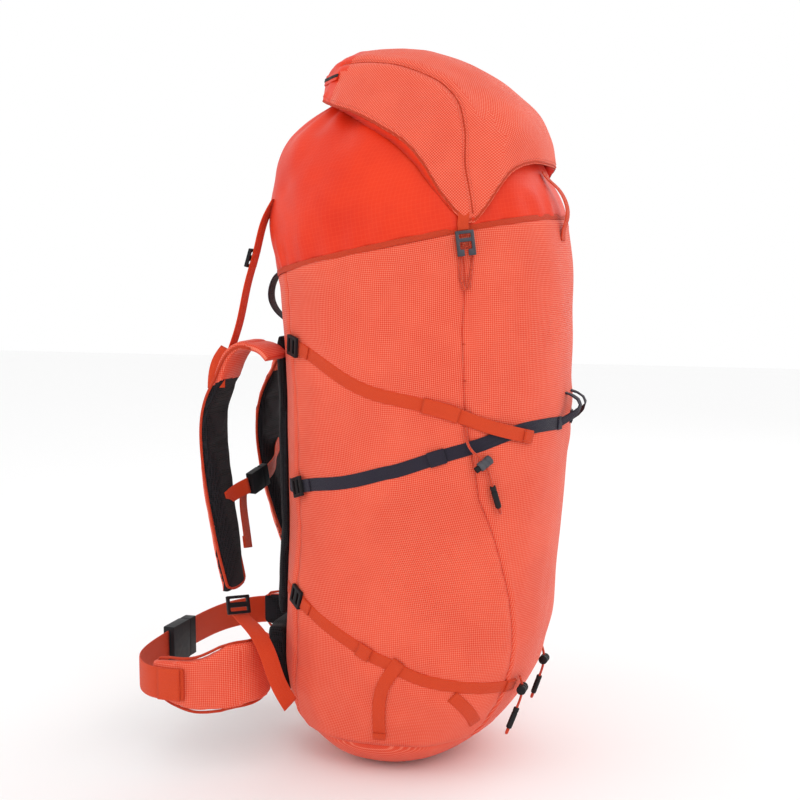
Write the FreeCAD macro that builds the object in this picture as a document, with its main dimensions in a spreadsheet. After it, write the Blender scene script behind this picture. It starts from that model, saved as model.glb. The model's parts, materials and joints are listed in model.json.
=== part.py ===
"""Hiking backpack: a roomy top-loading pack with a lid, harness and hip belt.

Millimetres, +Z up.  The origin is the centre of the flat base.  The harness side,
towards the wearer, is +Y and the wearer's left is -X.
"""
import FreeCAD, Part
import math
import os

import Sketcher
from FreeCAD import Matrix, Placement, Vector

UP = Vector(0, 0, 1)
ACROSS = Vector(1, 0, 0)
LEFT, RIGHT = 1, -1                 # sign that turns a left-hand X into either side
SIDES = (("left", LEFT), ("right", RIGHT))

doc = FreeCAD.newDocument("hiking_backpack")

# ---------------------------------------------------------------- driving sizes
SIZES = (
    ("bag_tall", 800), ("bag_half_width", 158), ("front_reach", 214), ("back_reach", 140),
    ("roundness", 2.35), ("fabric_wall", 2.5), ("bottom_seam", 38), ("rim_level", 604),
    ("rim_slope", 0.2), ("skin_gap", 1.2),
    ("sheet_wall", 1.5), ("stay_wide", 25), ("stay_thick", 3), ("back_pad_thick", 11),
    ("lumbar_thick", 22),
    ("lid_gap", 2.2), ("lid_top_gap", 3.2), ("lid_point", 639), ("lid_arch", 67), ("lid_half_arch", 137),
    ("web_thin", 1.6), ("web_side", 15), ("web_lift", 20), ("web_low", 22), ("web_belt", 38),
    ("web_chest", 20), ("web_tab", 12), ("lid_hook_gap", 7.4),
    ("pad_wide", 66), ("pad_thick", 12), ("pad_place", 86),
    ("wing_thick", 14), ("belt_level", 107),
    ("lock_rail", 4), ("lock_long", 22), ("lock_thick", 3.6), ("slot_long", 4.6),
    ("slot_near", 3.4), ("slot_far", 14),
    ("hook_long", 27), ("hook_mouth", 8), ("hook_near", 12), ("hook_gate", 4.5),
    ("hip_tall", 50), ("hip_thick", 15), ("hip_housing", 44), ("hip_plug", 17),
    ("hip_prong", 26), ("hip_prong_tall", 30), ("hip_prong_thick", 5), ("hip_slack", 1.4),
    ("chest_tall", 27), ("chest_thick", 9), ("chest_housing", 24), ("chest_plug", 11),
    ("chest_prong", 15), ("chest_prong_tall", 17), ("chest_prong_thick", 3.4),
    ("chest_slack", 0.5), ("chest_gap", 3),
    ("cord_thick", 3), ("toggle_radius", 5.5), ("toggle_long", 17), ("plunger_radius", 3.6),
    ("plunger_long", 8), ("tube_radius", 3.4), ("tube_long", 26),
    ("pull_wide", 9), ("pull_long", 22), ("pull_thick", 2.4), ("pull_hole", 6),
)
sheet = doc.addObject("Spreadsheet::Sheet", "Sizes")
for row, (alias, number) in enumerate(SIZES, 1):
    sheet.set(f"A{row}", alias)
    sheet.set(f"B{row}", str(number))
    sheet.setAlias(f"B{row}", alias)
doc.recompute()


def size(name):
    """Read one driving size from the sheet."""
    return float(sheet.get(name))


# ------------------------------------------------------------------ curve helpers
def hermite(table, where, column):
    """Smooth curve through the table's rows; column 0 is the place along it."""
    last = len(table) - 1
    index = max(i for i in range(last) if where >= table[i][0] or i == 0)
    slopes = []
    for i in (index, index + 1):
        before, after = table[max(i - 1, 0)], table[min(i + 1, last)]
        here = table[i]
        rise_before = (here[column] - before[column]) / max(here[0] - before[0], 1e-9)
        rise_after = (after[column] - here[column]) / max(after[0] - here[0], 1e-9)
        if i == 0:
            slopes.append(rise_after)
        elif i == last:
            slopes.append(rise_before)
        elif rise_before * rise_after <= 0:
            slopes.append(0.0)
        else:
            slopes.append(2 * rise_before * rise_after / (rise_before + rise_after))
    low, high = table[index], table[index + 1]
    span = high[0] - low[0]
    t = (where - low[0]) / span
    start = (2 * t ** 3 - 3 * t ** 2 + 1) * low[column]
    end = (3 * t ** 2 - 2 * t ** 3) * high[column]
    bend = (t ** 3 - 2 * t ** 2 + t) * slopes[0] + (t ** 3 - t ** 2) * slopes[1]
    return start + end + span * bend


def smooth(points, step):
    """Evenly spaced points on a smooth curve through the given ones."""
    curve = Part.BSplineCurve()
    curve.interpolate([Vector(*point) for point in points])
    edge = curve.toShape()
    return edge.discretize(Number=max(3, int(round(edge.Length / step)) + 1))


def closed_ring(level, half_width, front, back, power):
    """Closed superellipse at one level; front is negative Y and back positive."""
    middle, half_depth = (front + back) / 2, (back - front) / 2
    points = []
    for turn in range(32):
        angle = math.radians(turn * 360 / 32)
        c, s = math.cos(angle), math.sin(angle)
        x = half_width * math.copysign(abs(s) ** (2 / power), -s)
        y = middle - half_depth * math.copysign(abs(c) ** (2 / power), c)
        points.append(Vector(x, y, level))
    curve = Part.BSplineCurve()
    curve.interpolate(points, True)
    return Part.Wire(curve.toShape())


def tangents(points):
    """Unit direction of travel at each point."""
    last = len(points) - 1
    result = []
    for i in range(last + 1):
        direction = points[min(i + 1, last)] - points[max(i - 1, 0)]
        result.append(direction.normalize())
    return result


def ribbon(points, widths, thickness, across=None, normals=None):
    """Flat band along the points, lofted through rectangular sections."""
    sections = []
    for i, (point, along) in enumerate(zip(points, tangents(points))):
        if normals is None:
            side = across
            normal = along.cross(side).normalize()
        else:
            normal = (normals[i] - along * normals[i].dot(along)).normalize()
            side = normal.cross(along).normalize()
        half = side * ((widths[i] if isinstance(widths, list) else widths) / 2)
        lift = normal * ((thickness[i] if isinstance(thickness, list) else thickness) / 2)
        corners = [point - half - lift, point + half - lift, point + half + lift, point - half + lift]
        sections.append(Part.makePolygon(corners + corners[:1]))
    return Part.makeLoft(sections, True, True)


def blend_list(values, count):
    """Spread a short list of values evenly over count places."""
    result = []
    for i in range(count):
        place = i * (len(values) - 1) / (count - 1)
        low = min(int(place), len(values) - 2)
        result.append(values[low] + (values[low + 1] - values[low]) * (place - low))
    return result


def frame(origin, along, normal):
    """Placement whose Y runs along, whose Z is the normal and whose X is the width."""
    normal = (normal - along * normal.dot(along)).normalize()
    side = along.cross(normal).normalize()
    turn = Matrix(side.x, along.x, normal.x, 0, side.y, along.y, normal.y, 0,
                  side.z, along.z, normal.z, 0, 0, 0, 0, 1)
    result = Placement(turn)
    result.Base = origin
    return result


def mirrored(point, side):
    """The same place on the left side or on the right."""
    return Vector(point[0] * side, point[1], point[2])


# --------------------------------------------------------------- document helpers
def add_shape(label, shape):
    """Put a shape made with Part's functions in the document under its own label."""
    item = doc.addObject("Part::Feature", label)
    item.Label = label
    item.Shape = shape
    item.Placement = Placement()
    parts.append(item)
    return item


def add_pair(label, shape):
    """One node that holds a left-hand solid and its mirror image."""
    return add_shape(label, Part.makeCompound([flip(shape, side) for _, side in SIDES]))


def origin_plane(body, role):
    """One of a body's own three planes."""
    return [item for item in body.Origin.OriginFeatures if item.Role == role][0]


def new_sketch(body, name):
    """Sketch on the body's own XY plane."""
    sketch = body.newObject("Sketcher::SketchObject", name)
    sketch.AttachmentSupport = (origin_plane(body, "XY_Plane"), [""])
    sketch.MapMode = "FlatFace"
    return sketch


def add_rectangle(sketch, wide, tall, low):
    """Rectangle centred on the sketch's Y axis, its sizes bound to the sheet."""
    first = sketch.GeometryCount
    corners = [Vector(-9, 1, 0), Vector(9, 1, 0), Vector(9, 5, 0), Vector(-9, 5, 0)]
    for i in range(4):
        sketch.addGeometry(Part.LineSegment(corners[i], corners[(i + 1) % 4]), False)
    for i in range(4):
        sketch.addConstraint(Sketcher.Constraint("Coincident", first + i, 2, first + (i + 1) % 4, 1))
    for i, kind in enumerate(("Vertical", "Horizontal", "Vertical"), 1):
        sketch.addConstraint(Sketcher.Constraint(kind, first + i))
    sketch.addConstraint(Sketcher.Constraint("Symmetric", first, 1, first, 2, -2))
    bound = [("DistanceX", first, 1, first, 2, 18.0, wide),
             ("DistanceY", first + 1, 1, first + 1, 2, 4.0, tall)]
    if low is None:
        sketch.addConstraint(Sketcher.Constraint("PointOnObject", first, 1, -1))
    else:
        bound.append(("DistanceY", -1, 1, first, 1, 1.0, low))
    for kind, line_a, end_a, line_b, end_b, start, expression in bound:
        index = sketch.addConstraint(Sketcher.Constraint(kind, line_a, end_a, line_b, end_b, start))
        sketch.setExpression(f"Constraints[{index}]", expression)


def pad(body, name, sketch, length):
    """Raise a sketch, centred on its plane."""
    feature = body.newObject("PartDesign::Pad", name)
    feature.Profile = sketch
    feature.SideType = "Symmetric"
    feature.setExpression("Length", length)
    return feature


def pocket(body, name, sketch):
    """Cut a sketch right through, both ways."""
    feature = body.newObject("PartDesign::Pocket", name)
    feature.Profile = sketch
    feature.SideType = "Symmetric"
    feature.Type = "Length"
    feature.Length = 60
    return feature


def soften(body, base, radius, direction):
    """Round every straight edge of the base that runs along a direction."""
    doc.recompute()
    names = []
    for i, edge in enumerate(base.Shape.Edges, 1):
        ends = [vertex.Point for vertex in edge.Vertexes]
        if len(ends) == 2 and abs((ends[1] - ends[0]).normalize().dot(direction)) > 0.99:
            names.append(f"Edge{i}")
    fillet = body.newObject("PartDesign::Fillet", "soft_edges")
    fillet.Base = (base, names)
    fillet.Radius = radius
    body.Tip = fillet
    return fillet


def new_body(label):
    """Empty PartDesign body that will be one node."""
    body = doc.addObject("PartDesign::Body", label)
    body.Label = label
    parts.append(body)
    return body


parts = []

# ------------------------------------------------------------------ the bag itself
# Rows: share of the height, of the half width, of the front reach, of the back reach.
BAG = (
    (0.00, 0.355, 0.195, 0.27), (0.01, 0.545, 0.335, 0.385), (0.03, 0.71, 0.475, 0.57),
    (0.075, 0.82, 0.665, 0.83), (0.14, 0.885, 0.82, 0.905), (0.225, 0.93, 0.91, 0.89),
    (0.375, 0.96, 0.955, 0.85), (0.56, 0.985, 1.00, 0.87), (0.70, 1.00, 1.00, 0.915),
    (0.80, 0.995, 0.967, 1.00), (0.875, 0.90, 0.86, 0.95), (0.92, 0.76, 0.75, 0.84),
    (0.955, 0.57, 0.59, 0.64), (0.98, 0.42, 0.45, 0.40), (1.00, 0.29, 0.345, 0.215),
)
LOFT_LEVELS = (0, 0.005, 0.01, 0.02, 0.03, 0.05, 0.075, 0.105, 0.14, 0.18, 0.225, 0.3, 0.375,
               0.46, 0.56, 0.63, 0.70, 0.75, 0.80, 0.84, 0.875, 0.90, 0.92, 0.94, 0.955, 0.97,
               0.98, 0.99, 1.0)


def bag_section(level):
    """Half width, front and back of the bag's outside at one level."""
    share = min(max(level / size("bag_tall"), 0), 1)
    return (hermite(BAG, share, 1) * size("bag_half_width"),
            -hermite(BAG, share, 2) * size("front_reach"),
            hermite(BAG, share, 3) * size("back_reach"))


def bag_loft(grow):
    """Solid of the bag's outline, grown outwards, or inwards where grow is negative."""
    tall, power = size("bag_tall"), size("roundness")
    rings = []
    for share in LOFT_LEVELS:
        half_width, front, back = bag_section(share * tall)
        level = share * tall
        level -= grow * min(max((0.12 - share) / 0.1, 0), 1)
        level += grow * min(max((share - 0.78) / 0.15, 0), 1)
        rings.append(closed_ring(level, half_width + grow, front - grow, back + grow, power))
    return Part.makeLoft(rings, True, False, False, 3)


def ring_place(section, level, turn):
    """Place on a ringed surface: turn is in degrees round from the front to the left."""
    half_width, front, back = section(level)
    power, angle = size("roundness"), math.radians(turn)
    c, s = math.cos(angle), math.sin(angle)
    middle, half_depth = (front + back) / 2, (back - front) / 2
    return Vector(-half_width * math.copysign(abs(s) ** (2 / power), s),
                  middle - half_depth * math.copysign(abs(c) ** (2 / power), c), level)


def ring_normal(section, level, turn):
    """Outward direction square to a ringed surface."""
    level_step, turn_step = 4.0, 2.0
    low = max(level - level_step, 1)
    rise = ring_place(section, low + 2 * level_step, turn) - ring_place(section, low, turn)
    round_step = ring_place(section, level, turn + turn_step) - ring_place(section, level, turn - turn_step)
    return rise.cross(round_step).normalize()


def bag_normal(level, turn):
    """Outward direction square to the bag."""
    return ring_normal(bag_section, level, turn)


def bag_point(level, turn, gap=0.0):
    """Place on the bag, or at a gap outside it."""
    return ring_place(bag_section, level, turn) + bag_normal(level, turn) * gap


def seam_prism(table, y_from, y_to):
    """Block between two mirrored seam curves; table rows are level and half width."""
    left = Part.BSplineCurve()
    left.interpolate([Vector(-wide, y_from, level) for level, wide in table])
    right = Part.BSplineCurve()
    right.interpolate([Vector(wide, y_from, level) for level, wide in table])
    ends = [curve.value(place) for curve in (left, right)
            for place in (curve.FirstParameter, curve.LastParameter)]
    top, low = Part.makeLine(ends[1], ends[3]), Part.makeLine(ends[2], ends[0])
    outline = [left.toShape(), top, right.toShape(), low]
    face = Part.Face(Part.Wire(Part.__sortEdges__(outline)))
    return face.extrude(Vector(0, y_to - y_from, 0))


def biggest(shape):
    """The largest solid of a cut, leaving crumbs out."""
    return max(shape.Solids, key=lambda solid: solid.Volume)


FRONT_SEAM = ((-20, 52), (38, 58), (104, 72), (218, 98), (336, 131), (425, 142), (523, 145), (700, 141))
BACK_SEAM = ((-20, 70), (38, 82), (110, 102), (180, 112), (420, 114), (700, 114))


def build_bag():
    """Front, sides, back, bottom and collar, cut from one hollow outline at the seams."""
    reach = 500
    outer, inner = bag_loft(0), bag_loft(-size("fabric_wall"))
    mouth = closed_ring(size("bag_tall") - 8, *mouth_section(), size("roundness"))
    throat = Part.Face(mouth).extrude(UP * 20)
    shell = outer.cut(inner).cut(throat)
    slope = math.degrees(math.atan(size("rim_slope")))
    above = Part.makeBox(2 * reach, 2 * reach, reach, Vector(-reach, -reach, 0))
    above.rotate(Vector(0, 0, 0), ACROSS, -slope)
    above.translate(UP * size("rim_level"))
    collar = biggest(shell.common(above))
    lower = shell.cut(above)
    floor_block = Part.makeBox(2 * reach, 2 * reach, reach,
                               Vector(-reach, -reach, size("bottom_seam") - reach))
    bottom = biggest(outer.common(floor_block).cut(inner))
    walls = lower.cut(floor_block)
    front_block = seam_prism(FRONT_SEAM, -reach, -25)
    back_block = seam_prism(BACK_SEAM, 20, reach)
    front = biggest(walls.common(front_block))
    back = biggest(walls.common(back_block))
    rest = walls.cut(front_block).cut(back_block)
    sides = sorted(rest.Solids, key=lambda solid: solid.Volume)[-2:]
    sides.sort(key=lambda solid: solid.CenterOfMass.x)
    add_shape("front_panel", front)
    add_shape("left_side_panel", sides[0])
    add_shape("right_side_panel", sides[1])
    add_shape("back_panel", back)
    add_shape("bottom_panel", bottom)
    add_shape("collar", collar)


def mouth_section():
    """Inside half width, front and back of the collar's mouth."""
    half_width, front, back = bag_section(size("bag_tall"))
    wall = size("fabric_wall")
    return half_width - wall, front + wall, back - wall


def back_layer(label, inside, outside, half_widths, low, high):
    """Layer that follows the back of the bag between two offsets."""
    sections = []
    count = int((high - low) / 16) + 2
    for step, wide in enumerate(blend_list(half_widths, count)):
        level = low + (high - low) * step / (count - 1)
        outline = []
        for gap, order in ((inside, 1), (outside, -1)):
            half_width, front, back = bag_section(level)
            middle, half_depth = (front + back) / 2, (back - front) / 2 + gap
            for place in range(-6, 7):
                x = wide * order * place / 6
                bow = (1 - (abs(x) / (half_width + gap)) ** size("roundness")) ** (1 / size("roundness"))
                outline.append(Vector(x, middle + half_depth * bow, level))
        sections.append(Part.makePolygon(outline + outline[:1]))
    return add_shape(label, Part.makeLoft(sections, True, True))


# ------------------------------------------------------------- webbing on the bag
def surface_web(route, width, gap, step=20):
    """Webbing that follows the bag; route rows are level, turn and extra gap."""
    rows = smooth(route, step)
    rows = smooth(route, step * len(rows) / max(route_length(rows) / step, 4))
    points = [bag_point(row.x, row.y, gap + row.z) for row in rows]
    normals = [bag_normal(row.x, row.y) for row in rows]
    return ribbon(points, width, size("web_thin"), normals=normals)


def route_length(rows):
    """Length on the bag of a route of level and turn."""
    places = [bag_point(row.x, row.y) for row in rows]
    return sum((b - a).Length for a, b in zip(places, places[1:]))


# Level, turn round the bag and extra gap of each left-hand compression strap.
SIDE_STRAPS = {
    "top": ((500, 131, 0), (494, 124, 0), (470, 107, 0), (447, 88, 0), (437, 74, 0.6),
            (421, 58, 2.6), (403, 33, 3.4)),
    "middle": ((338, 133, 0), (344, 122, 0), (350, 107, 0), (369, 87, 0), (385, 73, 0), (397, 58, 0),
               (411, 39, 0), (414, 20, 0), (412, 8, 0)),
    "lower": ((205, 130, 0), (192, 120, 0), (174, 106, 0), (151, 91, 0), (129, 75, 0),
              (119, 57, 0), (112, 38, 0), (108, 21, 0)),
}
HOOK_TURN = 137
STUB_TURN = 148


def side_hook_frame(route, side):
    """Where a side hook hangs: its pivot, direction along the strap and normal."""
    level, turn = route[0][0], route[0][1]
    pivot = bag_point(level + (level - route[1][0]) * 0.5, HOOK_TURN, size("skin_gap") + 3.7)
    ahead = bag_point(level, turn, size("skin_gap") + 3.7)
    along, normal = (ahead - pivot).normalize(), bag_normal(level, HOOK_TURN - 4)
    if side == RIGHT:
        pivot, along, normal = [Vector(-v.x, v.y, v.z) for v in (pivot, along, normal)]
    return pivot, along, normal


def flip(shape, side):
    """Mirror a left-hand shape to the right-hand side."""
    return shape if side == LEFT else shape.mirror(Vector(0, 0, 0), ACROSS)


def build_side_straps():
    """Three compression straps a side, each with its sewn stub behind the hook."""
    for name, route in SIDE_STRAPS.items():
        strap = surface_web(route, size("web_side"), size("skin_gap") + size("web_thin") / 2)
        level = route[0][0] + (route[0][0] - route[1][0]) * 0.5
        stub_route = ((level, HOOK_TURN + 1.5, 0), (level, STUB_TURN - 5, 0), (level, STUB_TURN, 0))
        stub = surface_web(stub_route, size("web_side"), size("skin_gap") + size("web_thin") / 2, 8)
        solids = [strap, stub]
        if name == "lower":
            gap = size("skin_gap") + size("web_thin") * 1.5 + 0.5
            tail = surface_web(((150, 84, 0), (120, 88, 0), (84, 88, 0), (52, 86, 0)), size("web_side"), gap)
            branch = surface_web(((108, 59, 0), (92, 50, 0), (66, 36, 0)), size("web_side"), gap - 2.1)
            solids += [tail, branch]
        for side_name, side in SIDES:
            shapes = [flip(solid, side) for solid in solids]
            add_shape(f"{side_name}_{name}_strap", Part.makeCompound(shapes))


def ladder_lock(label, web, place):
    """Ladder lock: a frame with two slots and a bar between them."""
    body = new_body(label)
    outline = new_sketch(body, f"{label}_outline")
    add_rectangle(outline, f"Sizes.{web} + 2 * Sizes.lock_rail", "Sizes.lock_long", None)
    pad(body, f"{label}_plate", outline, "Sizes.lock_thick")
    for slot, low in (("near", "Sizes.slot_near"), ("far", "Sizes.slot_far")):
        opening = new_sketch(body, f"{label}_{slot}")
        add_rectangle(opening, f"Sizes.{web} + 1", "Sizes.slot_long", low)
        cut = pocket(body, f"{label}_{slot}_slot", opening)
    soften(body, cut, 1.2, UP)
    body.Placement = place
    return body


def gate_hook(label, web, place):
    """Flat wire-gate style hook: a webbing slot and an open mouth with a side gate."""
    body = new_body(label)
    outline = new_sketch(body, f"{label}_outline")
    add_rectangle(outline, f"Sizes.{web} + 2 * Sizes.lock_rail", "Sizes.hook_long", None)
    pad(body, f"{label}_plate", outline, "Sizes.lock_thick")
    slot = new_sketch(body, f"{label}_slot_sketch")
    add_rectangle(slot, f"Sizes.{web} + 1", "Sizes.slot_long", "Sizes.slot_near")
    pocket(body, f"{label}_slot", slot)
    mouth = new_sketch(body, f"{label}_mouth_sketch")
    add_rectangle(mouth, f"Sizes.{web} + 1", "Sizes.hook_mouth", "Sizes.hook_near")
    pocket(body, f"{label}_mouth", mouth)
    gate = new_sketch(body, f"{label}_gate_sketch")
    add_rectangle(gate, "Sizes.hook_gate", "Sizes.hook_mouth", "Sizes.hook_near + Sizes.hook_mouth - 1")
    cut = pocket(body, f"{label}_gate", gate)
    soften(body, cut, 0.9, UP)
    body.Placement = place
    return body


def build_side_hooks():
    """Hooks at the back edge that the compression straps clip to."""
    for name, route in SIDE_STRAPS.items():
        for side_name, side in SIDES:
            pivot, along, normal = side_hook_frame(route, side)
            ladder_lock(f"{side_name}_{name}_hook", "web_side", frame(pivot, along, normal))
            hinge = along.cross(normal).normalize()
            print("JOINT", f"{side_name}_{name}_hook", *[round(v, 3) for v in (*pivot, *hinge)])


# ------------------------------------------------------------------------ harness
PAD_PATH = ((188, 448), (200, 418), (203.5, 380), (200, 340), (191, 295), (179, 248), (165, 205))
YOKE_PATH = ((136, 496), (152, 497.5), (166, 488), (176, 471), (182.5, 457.5))
PAD_SPREAD = (86, 83, 80, 80, 84, 90, 97)


def build_shoulder_pads():
    """Yoke pads sewn to the back, and the swinging lower part of each shoulder pad."""
    thick, wide = size("pad_thick"), size("pad_wide")
    pivot_y, pivot_z = PAD_PATH[0]
    points = smooth([(-x, y, z) for x, (y, z) in zip(PAD_SPREAD, PAD_PATH)], 24)
    widths = blend_list([wide, wide, wide - 2, wide - 8, wide - 16], len(points))
    blade = ribbon(points, widths, thick, across=ACROSS)
    knuckle = Part.makeCylinder(thick / 2, wide, Vector(-PAD_SPREAD[0] - wide / 2, pivot_y, pivot_z), ACROSS)
    lower_pad = blade.fuse(knuckle).removeSplitter()
    yoke_points = smooth([(-size("pad_place"), y, z) for y, z in YOKE_PATH], 12)
    yoke = ribbon(yoke_points, wide, thick, across=ACROSS)
    clear = Part.makeCylinder(thick / 2 + 0.6, 2 * wide, Vector(-size("pad_place") - wide, pivot_y, pivot_z),
                              ACROSS)
    yoke = biggest(yoke.cut(clear))
    yoke = biggest(yoke.cut(bag_loft(size("back_pad_thick") + 1)))
    for side_name, side in SIDES:
        add_shape(f"{side_name}_shoulder_pad", flip(lower_pad, side))
    add_pair("shoulder_yokes", yoke)


def build_load_lifters():
    """Webbing from the top of the back down to the crest of each yoke."""
    half = size("web_thin") / 2
    path = ((-84, 129, 646), (-84, 140, 610), (-85, 152, 570), (-85, 163, 525), (-86, 175.5, 489))
    strap = ribbon(smooth(path, 30), size("web_lift"), size("web_thin"), across=ACROSS)
    add_pair("load_lifters", strap)
    for side_name, side in SIDES:
        top, below = mirrored(path[1], side), mirrored(path[2], side)
        along = (below - top).normalize()
        normal = Vector(0, -along.z, along.y)
        place = frame(top + normal * (half + size("lock_thick") / 2 + 0.3), along, normal)
        ladder_lock(f"{side_name}_lifter_lock", "web_lift", place)
        print("JOINT", f"{side_name}_lifter_lock", *[round(v, 3) for v in (*place.Base, *ACROSS)])


def build_lower_webbing():
    """Webbing from each pad's ladder lock to the bottom corner of the bag."""
    path = ((-104, 159, 176), (-116, 144, 171), (-130, 124, 161), (-140, 107, 140), (-138, 97, 110),
            (-127, 86, 80))
    outward = Vector(-0.55, -0.75, 0.35)
    points = smooth(path, 14)
    normals = [outward for _ in points]
    strap = ribbon(points, size("web_low"), size("web_thin"), normals=normals)
    start = Vector(*path[0])
    along = (Vector(*PAD_BOTTOM) - start).normalize()
    normal = (outward - along * outward.dot(along)).normalize()
    add_pair("lower_webbing", strap)
    for side_name, side in SIDES:
        spots = [mirrored(v, side) for v in (start, along, normal)]
        place = frame(spots[0] - spots[2] * 2.9 + spots[1] * 1.5, spots[1], spots[2])
        ladder_lock(f"{side_name}_lower_lock", "web_low", place)


PAD_BOTTOM = (-97, 165, 203)
CHEST_LEFT = ((-88, 183.6, 311), (-66, 181, 317), (-46, 172, 323))
CHEST_RIGHT = ((-6.9, 164.6, 333), (20, 167.5, 339), (50, 178, 346), (66, 184, 350), (88, 189.6, 355))


def build_chest_strap():
    """Chest strap: a left half with the buckle housing and a right half with the plug."""
    web, thin = size("web_chest"), size("web_thin")
    along = (Vector(*CHEST_RIGHT[0]) - Vector(*CHEST_LEFT[-1])).normalize()
    left_points = smooth(CHEST_LEFT, 14)
    left = ribbon(left_points, web, thin, across=UP)
    right = ribbon(smooth(CHEST_RIGHT, 16), web, thin, across=UP)
    tail_path = ((-40, 181, 325), (-41, 182.5, 303), (-40, 180, 272), (-43, 175, 244))
    tail = ribbon(smooth(tail_path, 20), web, thin, across=ACROSS)
    add_shape("chest_strap_left", Part.makeCompound([left, tail]))
    add_shape("chest_strap_right", right)
    start = Vector(*CHEST_LEFT[-1]) + along * size("chest_gap")
    normal = along.cross(UP).normalize()
    place = frame(start, along, normal)
    release_buckle("chest", place)
    print("JOINT chest_plug", *[round(v, 4) for v in (*start, *along)])


def release_buckle(prefix, place):
    """Side-release buckle: hollow housing, and a plug whose prongs lie inside it."""
    housing = new_body(f"{prefix}_buckle")
    outline = new_sketch(housing, f"{prefix}_housing_outline")
    add_rectangle(outline, f"Sizes.{prefix}_tall", f"Sizes.{prefix}_housing", None)
    pad(housing, f"{prefix}_housing_block", outline, f"Sizes.{prefix}_thick")
    cavity = new_sketch(housing, f"{prefix}_cavity_outline")
    slack = f"Sizes.{prefix}_slack"
    add_rectangle(cavity, f"Sizes.{prefix}_prong_tall + 2 * {slack}", f"Sizes.{prefix}_prong + 4",
                  f"Sizes.{prefix}_housing - Sizes.{prefix}_prong - 3")
    cut = housing.newObject("PartDesign::Pocket", f"{prefix}_cavity")
    cut.Profile = cavity
    cut.SideType = "Symmetric"
    cut.Type = "Length"
    cut.setExpression("Length", f"Sizes.{prefix}_prong_thick + 2 * {slack}")
    soften(housing, cut, 1.5, UP)
    housing.Placement = place
    plug = new_body(f"{prefix}_plug")
    base = new_sketch(plug, f"{prefix}_plug_outline")
    add_rectangle(base, f"Sizes.{prefix}_tall", f"Sizes.{prefix}_plug", f"Sizes.{prefix}_housing + 0.4")
    pad(plug, f"{prefix}_plug_block", base, f"Sizes.{prefix}_thick")
    prongs = new_sketch(plug, f"{prefix}_prong_outline")
    add_rectangle(prongs, f"Sizes.{prefix}_prong_tall", f"Sizes.{prefix}_prong + 2",
                  f"Sizes.{prefix}_housing - Sizes.{prefix}_prong")
    pad(plug, f"{prefix}_prongs", prongs, f"Sizes.{prefix}_prong_thick")
    gap = new_sketch(plug, f"{prefix}_gap_outline")
    add_rectangle(gap, f"Sizes.{prefix}_prong_tall - 12", f"Sizes.{prefix}_prong - 6",
                  f"Sizes.{prefix}_housing - Sizes.{prefix}_prong + 4")
    plug_cut = pocket(plug, f"{prefix}_gap", gap)
    plug.Tip = plug_cut
    plug.Placement = place
    return housing, plug


WING_PIVOT = (-150, 152)
ROOT_PATH = ((-84, 139), (-104, 132), (-122, 132.5), (-137, 139.5), (-145.5, 147))
WING_PATH = ((-150, 152), (-158, 170), (-163, 192), (-164, 216), (-158, 245))
BELT_WEB_PATH = ((-173.4, 200), (-174.4, 220), (-170.6, 243), (-155, 264), (-126, 281.5),
                 (-80, 291.3), (-32, 294))


def build_hip_belt():
    """Lumbar pad, fixed belt roots, swinging wings, webbing and the hip buckle."""
    thick, level = size("wing_thick"), size("belt_level")
    back_layer("lumbar_pad", 1.0, size("lumbar_thick"), (70, 76, 78, 76, 70), 68, 156)
    root_points = smooth([(x, y, level + 9) for x, y in ROOT_PATH], 12)
    root_widths = blend_list([76, 76, 76, 78, 80], len(root_points))
    root = ribbon(root_points, root_widths, thick, across=UP)
    pivot_x, pivot_y = WING_PIVOT
    clear = Part.makeCylinder(thick / 2 + 0.6, 200, Vector(pivot_x, pivot_y, 20), UP)
    root = biggest(root.cut(clear))
    root = biggest(root.cut(bag_loft(size("lumbar_thick") * 0.5)))
    wing_points = smooth([(x, y, level + lift) for (x, y), lift in zip(WING_PATH, (9, 3, -2, 0, 4))], 16)
    wing_widths = blend_list([80, 68, 62, 54, 40], len(wing_points))
    blade = ribbon(wing_points, wing_widths, thick, across=UP)
    knuckle = Part.makeCylinder(thick / 2, 80, Vector(pivot_x, pivot_y, level + 9 - 40), UP)
    wing = blade.fuse(knuckle).removeSplitter()
    web = ribbon(smooth([(x, y, level) for x, y in BELT_WEB_PATH], 18), size("web_belt"), 2.2, across=UP)
    pad_shape = parts[-1].Shape
    root = biggest(root.cut(pad_shape))
    add_pair("belt_roots", root)
    for side_name, side in SIDES:
        add_shape(f"{side_name}_hip_wing", flip(wing, side))
        add_shape(f"{side_name}_hip_webbing", flip(web, side))
    middle = (size("hip_housing") + size("hip_plug")) / 2
    place = frame(Vector(-middle, 294, level - 2), ACROSS, Vector(0, 1, 0))
    release_buckle("hip", place)


# ---------------------------------------------------------------------------- lid
LID = (
    (0.00, 1.005, 0.965, 0.87), (0.12, 1.005, 0.955, 0.87), (0.22, 0.995, 0.935, 0.86),
    (0.32, 0.97, 0.905, 0.81), (0.47, 0.895, 0.885, 0.73), (0.60, 0.79, 0.825, 0.63),
    (0.73, 0.66, 0.70, 0.545), (0.84, 0.535, 0.56, 0.515), (0.92, 0.40, 0.41, 0.445),
    (0.97, 0.26, 0.255, 0.30), (1.00, 0.06, 0.10, 0.06),
)
LID_LEVELS = (0, 0.06, 0.12, 0.17, 0.22, 0.32, 0.40, 0.47, 0.54, 0.60, 0.67, 0.73, 0.79, 0.84, 0.885,
              0.92, 0.95, 0.975, 1.0)
LID_LOW, LID_TOP = 632, 845
LID_EDGE = ((-127, 639), (-101, 672), (-84, 699), (-61, 724), (-38, 739), (-15, 751), (8, 761),
            (34, 769), (60, 779), (92, 790))


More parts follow.
